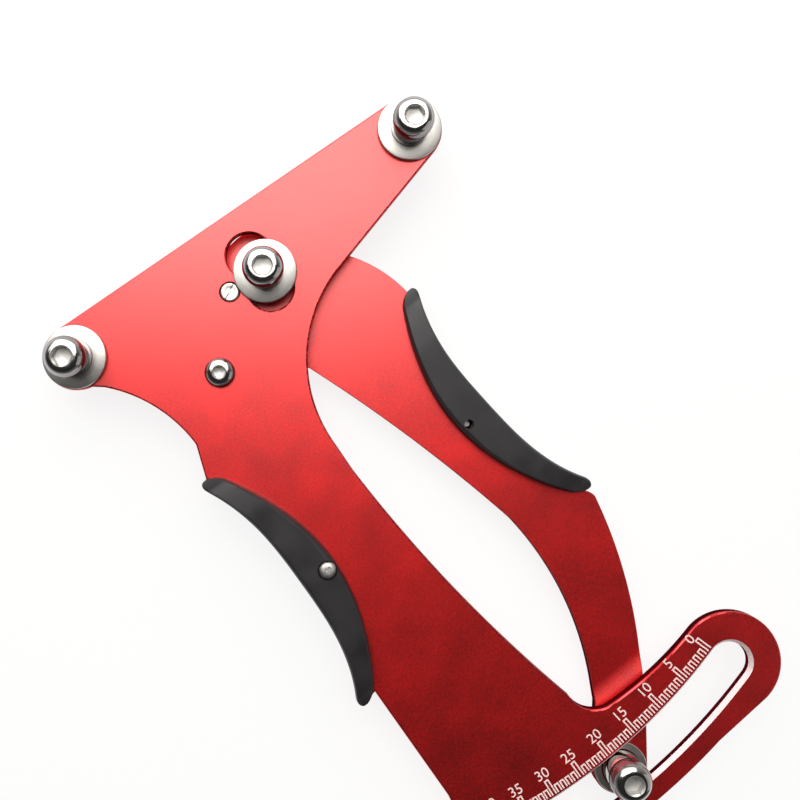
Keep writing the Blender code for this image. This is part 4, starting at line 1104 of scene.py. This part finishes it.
def grown(name, tree, geometry, kind, sizes):
    """A piece made by a node tree: its inputs are set here, and it ends as a plain mesh."""
    whole = add(tree, "GeometryNodeRealizeInstances", {"Geometry": geometry}).outputs[0]
    coated = {"Geometry": whole, "Material": finish(kind)}
    coated = add(tree, "GeometryNodeSetMaterial", coated).outputs[0]
    add(tree, "NodeGroupOutput", {"Geometry": coated})
    piece = bpy.data.objects.new(name, bpy.data.meshes.new(name))
    bpy.context.scene.collection.objects.link(piece)
    modifier = piece.modifiers.new(name, "NODES")
    modifier.node_group = tree
    for item in tree.interface.items_tree:
        if item.in_out == "INPUT":
            modifier[item.identifier] = sizes[item.name]
    baked(piece)
    bpy.data.node_groups.remove(tree)
    bm = bmesh.new()
    bm.from_mesh(piece.data)
    bmesh.ops.recalc_face_normals(bm, faces=bm.faces)
    bm.to_mesh(piece.data)
    bm.free()
    return piece


def swept_wire(name, sizes):
    """The spring, swept by nodes along its rule: straight leg, coil and straight leg."""
    tree, given = rule_tree(name, sizes)
    index = tree.nodes.new("GeometryNodeInputIndex").outputs[0]
    run = {"Value": ("DIVIDE", ("SUBTRACT", index, 1.0), given["Steps"])}
    run = add(tree, "ShaderNodeClamp", run).outputs[0]
    angle = ("ADD", given["First Angle"], ("MULTIPLY", given["Sweep"], run))
    # the coil winds clockwise, so the fixed leg leaves it backwards and the moving leg forwards
    fixed = ("MULTIPLY", ("LESS_THAN", index, 0.5), given["Fixed Leg"])
    past = ("GREATER_THAN", index, ("ADD", given["Steps"], 1.5))
    out = ("SUBTRACT", fixed, ("MULTIPLY", past, given["Moving Leg"]))
    height = ("SUBTRACT", given["Top"], ("MULTIPLY", given["Rise"], run))
    spot = spun(tree, given["Coil Radius"], out, angle, height)
    line = points_at(tree, ("ADD", given["Steps"], 3.0), spot)
    curve = add(tree, "GeometryNodeMeshToCurve", {"Mesh": line}).outputs[0]
    section = {"Resolution": WIRE_SECTION_SIDES, "Radius": given["Wire Radius"]}
    section = add(tree, "GeometryNodeCurvePrimitiveCircle", section).outputs[0]
    tube = {"Curve": curve, "Profile Curve": section, "Fill Caps": True}
    tube = add(tree, "GeometryNodeCurveToMesh", tube).outputs[0]
    return grown(name, tree, tube, "wire", sizes)


def printed_marks(name, sizes):
    """Every graduation mark, set out by nodes: two lines side by side, closed at their inner
    end."""
    tree, given = rule_tree(name, sizes)
    index = tree.nodes.new("GeometryNodeInputIndex").outputs[0]
    closing = ("MULTIPLY", given["Closing"], ("MULTIPLY", index, index))
    angle = {0: ("ADD", ("MULTIPLY", given["Step"], index), given["First"]), 1: closing}
    angle = add(tree, "ShaderNodeMath", angle, operation="ADD").outputs[0]
    numbered = ("LESS_THAN", ("MODULO", index, given["Every"]), 0.5)
    extra = ("MULTIPLY", numbered, ("SUBTRACT", given["Long"], given["Short"]))
    leg = ("SUBTRACT", ("ADD", given["Short"], extra), given["Line"])
    centre = ("SUBTRACT", given["Reach"], ("MULTIPLY", leg, 0.5))
    foot = ("SUBTRACT", ("ADD", given["Reach"], ("MULTIPLY", given["Line"], -0.5)), leg)
    half = ("MULTIPLY", given["Width"], 0.5)
    brick = add(tree, "GeometryNodeMeshCube", {"Size": (1.0, 1.0, 1.0)}).outputs[0]
    turn = add(tree, "ShaderNodeCombineXYZ", {"Z": angle}).outputs[0]
    joined = tree.nodes.new("GeometryNodeJoinGeometry")
    for radius, aside, deep, wide in (
        (centre, half, leg, given["Line"]),
        (centre, ("MULTIPLY", half, -1.0), leg, given["Line"]),
        (foot, 0.0, given["Line"], ("ADD", given["Width"], given["Line"])),
    ):
        spot = spun(tree, radius, aside, angle, given["Height"])
        size = add(tree, "ShaderNodeCombineXYZ", {"X": deep, "Y": wide, "Z": given["Ink"]})
        laid = {"Points": points_at(tree, given["Marks"], spot), "Instance": brick,
                "Rotation": turn, "Scale": size.outputs[0]}
        laid = add(tree, "GeometryNodeInstanceOnPoints", laid)
        tree.links.new(laid.outputs[0], joined.inputs[0])
    return grown(name, tree, joined.outputs[0], "print", sizes)


def printed_numbers(name, scale, front):
    """The numbers beside the long marks, their tops towards the pivot."""
    bm = bmesh.new()
    for value in range(0, scale.marks, scale.every):
        text = bpy.data.curves.new("number", "FONT")
        text.body = str(value)
        text.align_x = "CENTER"
        text.extrude = 0.01
        holder = bpy.data.objects.new("number", text)
        bpy.context.scene.collection.objects.link(holder)
        evaluated = holder.evaluated_get(bpy.context.evaluated_depsgraph_get())
        mesh = bpy.data.meshes.new_from_object(evaluated)
        size = scale.digit_height / max(v.co.y for v in mesh.vertices)
        reach = scale.digit_radius
        angle = scale.first + scale.step * value + scale.closing * value * value
        if not value:
            reach += scale.first_out
            angle -= scale.first_round / reach
        foot = Vector((reach * cos(angle), reach * sin(angle), front + scale.ink / 2.0))
        flat = Matrix.Diagonal((size, size, scale.ink / (2.0 * text.extrude), 1.0))
        upright = Matrix.Rotation(angle + pi / 2.0, 4, "Z")
        mesh.transform(Matrix.Translation(foot) @ upright @ flat)
        bm.from_mesh(mesh)
        bpy.data.objects.remove(holder)
        bpy.data.curves.remove(text)
        bpy.data.meshes.remove(mesh)
    for face in bm.faces:
        face.material_index = 0
    return solid(name, bm, ["print"])


def grip_shell(name, sizes, side, recess, place, middle):
    """Half of a crescent grip: flat crown, rounded back edge and a lip that laps over the
    plate."""
    bm = bmesh.new()
    rows = []
    for step in range(sizes.stations + 1):
        y = -GRIP_HALF_CHORD * GRIP_END_SHARE * cos(pi * step / sizes.stations)
        spine, half_width, half_height = grip_widths(y)
        step_height = min(recess, GRIP_STEP_SHARE * half_height)
        hand = spine - half_width
        lip = hand + grip_lip(half_width)
        start = asin((step_height / half_height) ** (GRIP_ROUNDNESS / 2.0))
        section = [(hand, sizes.seam), (lip, sizes.seam), (lip, step_height)]
        for k in range(sizes.section):
            angle = start + (pi - start) * k / sizes.section
            across = abs(cos(angle)) ** (2.0 / GRIP_ROUNDNESS)
            across = across if angle < pi / 2 else -across
            height = half_height * sin(angle) ** (2.0 / GRIP_ROUNDNESS)
            height = min(half_height * GRIP_FLAT_SHARE, height)
            section.append((spine + half_width * across, max(sizes.seam + 1e-4, height)))
        rows.append([bm.verts.new((*place((x, y)), middle + side * z)) for x, z in section])
    walls(bm, rows)
    bm.faces.new(rows[0])
    bm.faces.new(rows[-1])
    return solid(name, bm, ["grip"], GRIP_SHARP)


def grip(prefix, body, place, back, thickness, head_side):
    """Two shells and the screw that draws them together through the plate."""
    sizes = bpy.context.scene.meter_grips
    middle = back + thickness / 2.0
    spot = place(GRIP_SCREW_SPOT)
    crown = GRIP_HALF_THICKNESS * GRIP_FLAT_SHARE
    seat = crown - GRIP_SCREW_SINK
    for shell, side in (("front", 1.0), ("back", -1.0)):
        name = prefix + "_grip_" + shell
        piece = grip_shell("moulded_" + name, sizes, side, thickness / 2.0 + SEAT, place, middle)
        drill(piece, spot, GRIP_SCREW_RADIUS + SEAT, middle - THROUGH, middle + THROUGH)
        if side == head_side:
            ends = sorted((middle + side * (seat - SEAT), middle + side * THROUGH))
            drill(piece, spot, GRIP_SCREW_HEAD_RADIUS + SEAT, *ends)
        settle(piece, body, "black_grip", name)
    cross_screw(prefix + "_grip_screw", body, spot, middle, head_side, seat, crown)


def cross_screw(node, body, spot, middle, side, seat, crown):
    """Pan head screw with a tapering cross recess."""
    rim, radius = GRIP_SCREW_HEAD_RADIUS, GRIP_SCREW_RADIUS
    tall = GRIP_SCREW_HEAD_HEIGHT
    end = GRIP_SCREW_SHORT - crown
    edge = GRIP_SCREW_RIM_EDGE
    rings = [(0.0, end), (radius - GRIP_SCREW_EDGE, end), (radius, end + GRIP_SCREW_TIP)]
    rings += [(radius, seat), (rim - edge, seat), (rim, seat + edge)]
    brow = seat + tall * GRIP_SCREW_RIM_SHARE
    rings += dome(rim, rim * GRIP_SCREW_FLAT_SHARE, brow, seat + tall, 10)
    rings.append((0.0, seat + tall))
    rings = [(out, middle + side * z) for out, z in rings]
    piece = turned("cross_" + node, rings, spot, "socket", sides=GRIP_SCREW_SIDES)
    top = middle + side * (seat + tall)
    for turn in (CROSS_TURN, CROSS_TURN + 90.0):
        bm = bmesh.new()
        bmesh.ops.create_cube(bm, size=2.0)
        for vert in bm.verts:
            deep = vert.co.z * side < 0.0
            narrow = CROSS_TAPER if deep else 1.0
            reach = Vector((vert.co.x * CROSS_REACH * narrow, vert.co.y * CROSS_HALF_WIDTH, 0.0))
            reach.rotate(Matrix.Rotation(radians(turn), 3, "Z"))
            drop = CROSS_DEPTH * (-1.0 if deep else CROSS_OVER_SHARE)
            vert.co = (spot[0] + reach.x, spot[1] + reach.y, top + side * drop)
        cut(piece, bm)
    settle(piece, body, "stainless", node)


class MeterPiece:
    """Shared by the operators that build pieces."""
    bl_options = {"REGISTER", "UNDO"}


class METER_OT_frame_plate(MeterPiece, bpy.types.Operator):
    """Build the frame plate: head, handle and scale arm"""
    bl_idname = "meter.frame_plate"
    bl_label = "Frame plate"

    def execute(self, context):
        sizes = context.scene.meter_plates
        slot = arc_slot(SCALE_RADIUS, SCALE_SLOT_HALF_WIDTH, SCALE_END_ANGLE, SCALE_START_ANGLE)
        # the pointer runs past the last mark, so the wall below the bevel stands back there
        wall = []
        for x, y in inset(loop_of(slot, True), -sizes.bevel_width):
            angle = degrees(atan2(y, x))
            setback = SLOT_WALL_SETBACK if angle < SCALE_END_ANGLE + 0.01 else 0.0
            wall.append(polar(hypot(x, y), angle - setback))
        holes = [
            slot,
            arc_slot(CENTRE_POST_ORBIT, CENTRE_SLOT_HALF_WIDTH, -CENTRE_SLOT_HALF_ANGLE,
                     CENTRE_SLOT_HALF_ANGLE),
            circle(SCREW_RADIUS + SEAT, LEFT_POST),
            circle(SCREW_RADIUS + SEAT, RIGHT_POST),
            circle(PIN_RADIUS + SEAT * PIN_SEAT_SHARE),
            circle(ANCHOR_SCREW_RADIUS + SEAT, ANCHOR),
            circle(GRIP_SCREW_RADIUS + SEAT, place_left_grip(GRIP_SCREW_SPOT)),
        ]
        outline = kept_in(frame_outline(), "frame_plate")
        bm = plate(outline, holes, FRAME_BACK, FRAME_FRONT, sizes.edge_break, wall)
        piece = solid("blasted_frame_plate", bm, ["plate", "edge", "side", "slot"])
        settle(piece, "frame", "anodised_plate", "frame_plate")
        return {"FINISHED"}


class METER_OT_lever_arm(MeterPiece, bpy.types.Operator):
    """Build the lever plate, which steps forward behind the scale arm"""
    bl_idname = "meter.lever_arm"
    bl_label = "Lever plate"

    def execute(self, context):
        sizes = context.scene.meter_plates
        holes = [
            circle(PIN_RADIUS + SEAT),
            circle(SCREW_RADIUS + SEAT, CENTRE_POST),
            circle(SCREW_RADIUS + SEAT, POINTER),
            circle(PEG_SHANK_RADIUS + SEAT, PEG),
            circle(GRIP_SCREW_RADIUS + SEAT, place_right_grip(GRIP_SCREW_SPOT)),
        ]
        outline = kept_in(lever_outline(), "lever_arm")
        edge = sizes.edge_break * LEVER_EDGE_SHARE
        bm = plate(outline, holes, LEVER_BACK, LEVER_FRONT, edge)
        along = Vector((*polar(1.0, POINTER_ANGLE), 0.0))
        folds = (
            (JOGGLE_START, sizes.fold_run, sizes.fold_rise),
            (JOGGLE_START + sizes.fold_run, sizes.second_run, JOGGLE_RISE - sizes.fold_rise),
        )
        for start, run, _ in folds:
            for step in range(sizes.fold_steps + 1):
                bmesh.ops.bisect_plane(
                    bm, geom=list(bm.verts) + list(bm.edges) + list(bm.faces), plane_no=along,
                    plane_co=along * (start + run * step / sizes.fold_steps), dist=MERGE)
        for vert in bm.verts:
            reach = vert.co.dot(along)
            for start, run, rise in folds:
                share = min(1.0, max(0.0, (reach - start) / run))
                vert.co.z += rise * share * share * (3.0 - 2.0 * share)
        piece = solid("blasted_lever_arm", bm, ["plate", "edge", "side"])
        settle(piece, "lever", "anodised_plate", "lever_arm")
        return {"FINISHED"}


class METER_OT_scale_print(MeterPiece, bpy.types.Operator):
    """Print the graduation and its numbers on the scale arm"""
    bl_idname = "meter.scale_print"
    bl_label = "Scale print"

    def execute(self, context):
        scale = context.scene.meter_scale
        marks = printed_marks("printed_marks", {
            "Marks": scale.marks, "Every": scale.every, "First": scale.first,
            "Step": scale.step, "Closing": scale.closing, "Reach": scale.reach,
            "Short": scale.short_mark, "Long": scale.long_mark, "Width": scale.mark_width,
            "Line": scale.line_width, "Ink": scale.ink, "Height": FRAME_FRONT + scale.ink / 2.0,
        })
        settle(marks, "frame", "anodised_plate")
        numbers = printed_numbers("printed_numbers", scale, FRAME_FRONT)
        settle(numbers, "frame", "anodised_plate")
        return {"FINISHED"}


class METER_OT_posts(MeterPiece, bpy.types.Operator):
    """Build the two fixed posts and the centre post"""
    bl_idname = "meter.posts"
    bl_label = "Posts"

    def execute(self, context):
        bore = SCREW_RADIUS + SEAT
        pitch = context.scene.meter_hardware.thread_pitch
        for name in ("left_post", "right_post", "centre_post"):
            body = "lever" if name == "centre_post" else "frame"
            washer(name + "_washer", bore, body, "washer", "washer_steel", BIG_WASHER_ROUNDING)
            post_sleeve(name + "_sleeve", bore, body)
            button_head(name + "_screw", body, SCREW_RADIUS, POST_HEAD, POST_NOSE, pitch)
            hexagon_nut(name + "_nut", bore, NUT_ACROSS_FLATS, body)
        washer("centre_post_spacer", bore, "lever", "steel", "stainless")
        return {"FINISHED"}


class METER_OT_pivot(MeterPiece, bpy.types.Operator):
    """Build the headed pivot pin, its washer and its spacer"""
    bl_idname = "meter.pivot"
    bl_label = "Pivot"

    def execute(self, context):
        bore = PIN_RADIUS + SEAT
        washer("pivot_washer", bore, "frame", "washer", "washer_steel")
        washer("pivot_spacer", bore, "frame", "steel", "stainless")
        centre, _, low, high = axis_of("pivot_pin")
        edge, rim, corner = PIN_EDGE, PIN_HEAD_RADIUS, PIN_EDGE * CORNER_SHARE
        head = low + PIN_HEAD_THICKNESS
        rings = [
            (0.0, low + PIN_BACK_DISH), (rim * PIN_BACK_SHARE, low), (rim - edge, low),
            (rim - corner, low + corner), (rim, low + edge), (rim, head),
            (PIN_RADIUS, head), (PIN_RADIUS, high - edge), (PIN_RADIUS - edge, high),
        ]
        rings += [(radius, high - drop) for radius, drop in PIN_END_RINGS]
        piece = turned("staked_pivot_pin", rings, centre, "washer", sharp=PIN_SHARP)
        for vert in piece.data.vertices:
            radius = hypot(vert.co.x, vert.co.y)
            if vert.co.z > high - STAKE_HEIGHT and radius > STAKE_START:
                angle = degrees(atan2(vert.co.y, vert.co.x))
                off = min(abs((angle - a + 180.0) % 360.0 - 180.0) for a in STAKE_ANGLES)
                dent = max(0.0, 1.0 - radians(off) * radius / STAKE_WIDTH)
                vert.co.z -= STAKE_DEPTH * dent * dent * min(1.0, radius / STAKE_REACH)
        settle(piece, "frame", "stainless", "pivot_pin")
        return {"FINISHED"}


class METER_OT_spring(MeterPiece, bpy.types.Operator):
    """Build the torsion spring and the two stops that its legs bear on"""
    bl_idname = "meter.spring"
    bl_label = "Spring"

    def execute(self, context):
        sizes = context.scene.meter_hardware
        ends = []
        for stop, radius, way in ((ANCHOR, ANCHOR_SLEEVE_RADIUS, 1.0), (PEG, PEG_RADIUS, -1.0)):
            offset = sizes.coil + radius + SEAT + WIRE_RADIUS
            lean = asin(offset / hypot(*stop))
            ends.append((degrees(atan2(stop[1], stop[0]) + way * lean) - way * 90.0,
                         sqrt(hypot(*stop) ** 2 - offset ** 2) + LEG_OVERRUN))
        (first, fixed_leg), (last, moving_leg) = ends
        sweep = -((first - last) % 360.0) - 360.0 * COIL_EXTRA_TURNS
        rise = COIL_PITCH * abs(sweep) / 360.0
        middle = (LEVER_FRONT + FRAME_BACK) / 2.0
        piece = swept_wire("wound_torsion_spring", {
            "Coil Radius": sizes.coil, "Wire Radius": sizes.wire / 2.0, "Rise": rise,
            "Top": middle + rise / 2.0, "First Angle": radians(first), "Sweep": radians(sweep),
            "Fixed Leg": fixed_leg, "Moving Leg": moving_leg,
            "Steps": ceil(sizes.wire_steps * abs(sweep) / 360.0),
        })
        piece.data.shade_smooth()
        piece.data.set_sharp_from_angle(angle=radians(WIRE_SHARP))
        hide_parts("torsion_spring")
        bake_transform(piece)
        bore = ANCHOR_SCREW_RADIUS + SEAT
        washer("spring_anchor_sleeve", bore, "frame", "steel", "stainless")
        hexagon_nut("spring_anchor_nut", bore, ANCHOR_NUT_ACROSS_FLATS, "frame")
        button_head("spring_anchor_screw", "frame", ANCHOR_SCREW_RADIUS, ANCHOR_HEAD, ANCHOR_NOSE,
                    ANCHOR_PITCH)
        centre, _, low, high = axis_of("lever_spring_peg")
        under, over = LEVER_BACK - SEAT, LEVER_FRONT + SEAT
        edge = PEG_HEAD_EDGE
        rings = [(0.0, low)]
        rings += [(PEG_HEAD_RADIUS - edge * (1 - sin(t)), low + edge * (1 - cos(t)))
                  for t in (0.0, 0.4, 0.8, 1.2, 1.57)]
        rings += [(PEG_HEAD_RADIUS, under), (PEG_SHANK_RADIUS, under), (PEG_SHANK_RADIUS, over)]
        rings += [(PEG_RADIUS, over), (PEG_RADIUS, high - SEAT), (PEG_RADIUS - SEAT, high)]
        rings.append((0.0, high))
        peg = turned("turned_lever_spring_peg", rings, centre, "steel")
        settle(peg, "lever", "stainless", "lever_spring_peg")
        return {"FINISHED"}


class METER_OT_grips(MeterPiece, bpy.types.Operator):
    """Build the two crescent grips and their screws"""
    bl_idname = "meter.grips"
    bl_label = "Grips"

    def execute(self, context):
        grip("left", "frame", place_left_grip, FRAME_BACK, FRAME_THICKNESS, 1.0)
        grip("right", "lever", place_right_grip, LEVER_BACK, LEVER_THICKNESS, -1.0)
        return {"FINISHED"}


class METER_OT_pointer(MeterPiece, bpy.types.Operator):
    """Build the pointer bolt that rides in the scale slot"""
    bl_idname = "meter.pointer"
    bl_label = "Pointer"

    def execute(self, context):
        sizes = context.scene.meter_hardware
        bore = SCREW_RADIUS + SEAT
        washer("pointer_bushing", bore, "lever", "steel", "stainless")
        washer("pointer_washer", bore, "lever", "dark", "dark_washer")
        centre, hub, _, _ = axis_of("pointer_bushing")
        hub, rim, edge = hub + SEAT, sizes.glide, GLIDE_EDGE
        low, high = LEVER_END_FRONT + SEAT, FRAME_BACK - SEAT
        rings = [(hub, low), (rim - edge, low), (rim, low + edge), (rim, high - edge)]
        rings += [(rim - edge, high), (hub, high)]
        glide = turned("turned_pointer_glide", rings, centre, "washer", closed=True)
        settle(glide, "lever", "washer_steel")
        button_head("pointer_screw", "lever", SCREW_RADIUS, POST_HEAD, POST_NOSE,
                    sizes.thread_pitch)
        hexagon_nut("pointer_nut", bore, NUT_ACROSS_FLATS, "lever")
        return {"FINISHED"}


def hung(name, data, spot, side, up):
    """A camera or a lamp in the scene, at a spot and with its right and upper sides."""
    holder = bpy.data.objects.new(name, data)
    bpy.context.scene.collection.objects.link(holder)
    turn = Matrix((side, up, side.cross(up))).transposed().to_4x4()
    holder.matrix_world = Matrix.Translation(spot) @ turn
    return holder


def studio_air(up):
    """The world's light: pale on the far side of the picture and low down, dim elsewhere."""
    world = bpy.data.worlds.new("studio_air")
    world.use_nodes = True
    tree = world.node_tree
    way = add(tree, "ShaderNodeTexCoord").outputs["Generated"]
    facing = add(tree, "ShaderNodeVectorMath", {0: way, 1: up}, operation="DOT_PRODUCT")
    height = add(tree, "ShaderNodeSeparateXYZ", {0: way})
    spans = []
    for value, (start, end, least, most) in (
        (facing.outputs["Value"], AIR_UP), (height.outputs["Z"], AIR_HIGH),
    ):
        span = {"Value": value, "From Min": start, "From Max": end, "To Min": least, "To Max": most}
        spans.append(add(tree, "ShaderNodeMapRange", span).outputs["Result"])
    level = add(tree, "ShaderNodeMath", dict(enumerate(spans)), operation="ADD").outputs[0]
    background = tree.nodes["Background"].inputs
    tree.links.new(level, background["Strength"])
    background["Color"].default_value = (1.0, 1.0, 1.0, 1.0)
    return world


class METER_OT_studio(bpy.types.Operator):
    """Set the camera, the floor and the soft lamps"""
    bl_idname = "meter.studio"
    bl_label = "Studio"

    def execute(self, context):
        scene = context.scene
        sizes = scene.meter_stage
        right = Vector((cos(sizes.turn), sin(sizes.turn), 0.0))
        up = Vector((-sin(sizes.turn), cos(sizes.turn), 0.0))
        over = Vector((0.0, 0.0, 1.0))
        lens = bpy.data.cameras.new("picture_camera")
        lens.lens = sizes.lens
        lens.sensor_width = SENSOR_WIDTH_MM
        lens.shift_x = sizes.shift_x
        lens.shift_y = sizes.shift_y
        lens.clip_start = NEAREST_SEEN
        scene.camera = hung("picture_camera", lens, CAMERA_SPOT + over * sizes.distance, right, up)
        for name, setting, size, place in LAMPS:
            lamp = bpy.data.lights.new(name, "AREA")
            lamp.energy = getattr(sizes, setting)
            lamp.color = LAMP_COLOUR
            lamp.shape = "RECTANGLE"
            lamp.size, lamp.size_y = size
            offset = right * place[0] + up * place[1] + over * place[2]
            back = offset.normalized()
            side = up.cross(back).normalized()
            hung(name, lamp, CAMERA_SPOT + offset, side, back.cross(side))
        bm = bmesh.new()
        bmesh.ops.create_grid(bm, x_segments=2, y_segments=2, size=sizes.floor_size / 2.0)
        bm.transform(Matrix.Translation((0.0, FLOOR_Y, SOLID_BOX[0].z)))
        floor = linked("studio_floor", bm)
        floor.data.materials.append(finish("floor"))
        scene.world = studio_air(up)
        scene.view_settings.view_transform = "Standard"
        return {"FINISHED"}


SETTINGS = {
    "meter_plates": MeterPlates, "meter_scale": MeterScale, "meter_hardware": MeterHardware,
    "meter_grips": MeterGrips, "meter_colours": MeterColours, "meter_stage": MeterStage,
}
STEPS = (
    METER_OT_studio, METER_OT_frame_plate, METER_OT_lever_arm, METER_OT_scale_print,
    METER_OT_posts, METER_OT_pivot, METER_OT_spring, METER_OT_grips, METER_OT_pointer,
)


class METER_PT_sidebar(bpy.types.Panel):
    """Lists the settings and the steps that build the meter"""
    bl_idname = "METER_PT_sidebar"
    bl_label = "Spoke tension meter"
    bl_space_type = "VIEW_3D"
    bl_region_type = "UI"
    bl_category = "Tension meter"

    def draw(self, context):
        for holder, group in SETTINGS.items():
            box = self.layout.box()
            for label in group.__annotations__:
                box.prop(getattr(context.scene, holder), label)
        for step in STEPS:
            self.layout.operator(step.bl_idname)


CLASSES = [*SETTINGS.values(), *STEPS, METER_PT_sidebar]


def register():
    for each in CLASSES:
        bpy.utils.register_class(each)
    for holder, group in SETTINGS.items():
        setattr(bpy.types.Scene, holder, PointerProperty(type=group))


def unregister():
    for holder in SETTINGS:
        delattr(bpy.types.Scene, holder)
    for each in reversed(CLASSES):
        bpy.utils.unregister_class(each)


def main():
    register()
    for step in STEPS:
        family, verb = step.bl_idname.split(".")
        getattr(getattr(bpy.ops, family), verb)()


if __name__ == "__main__":
    main()
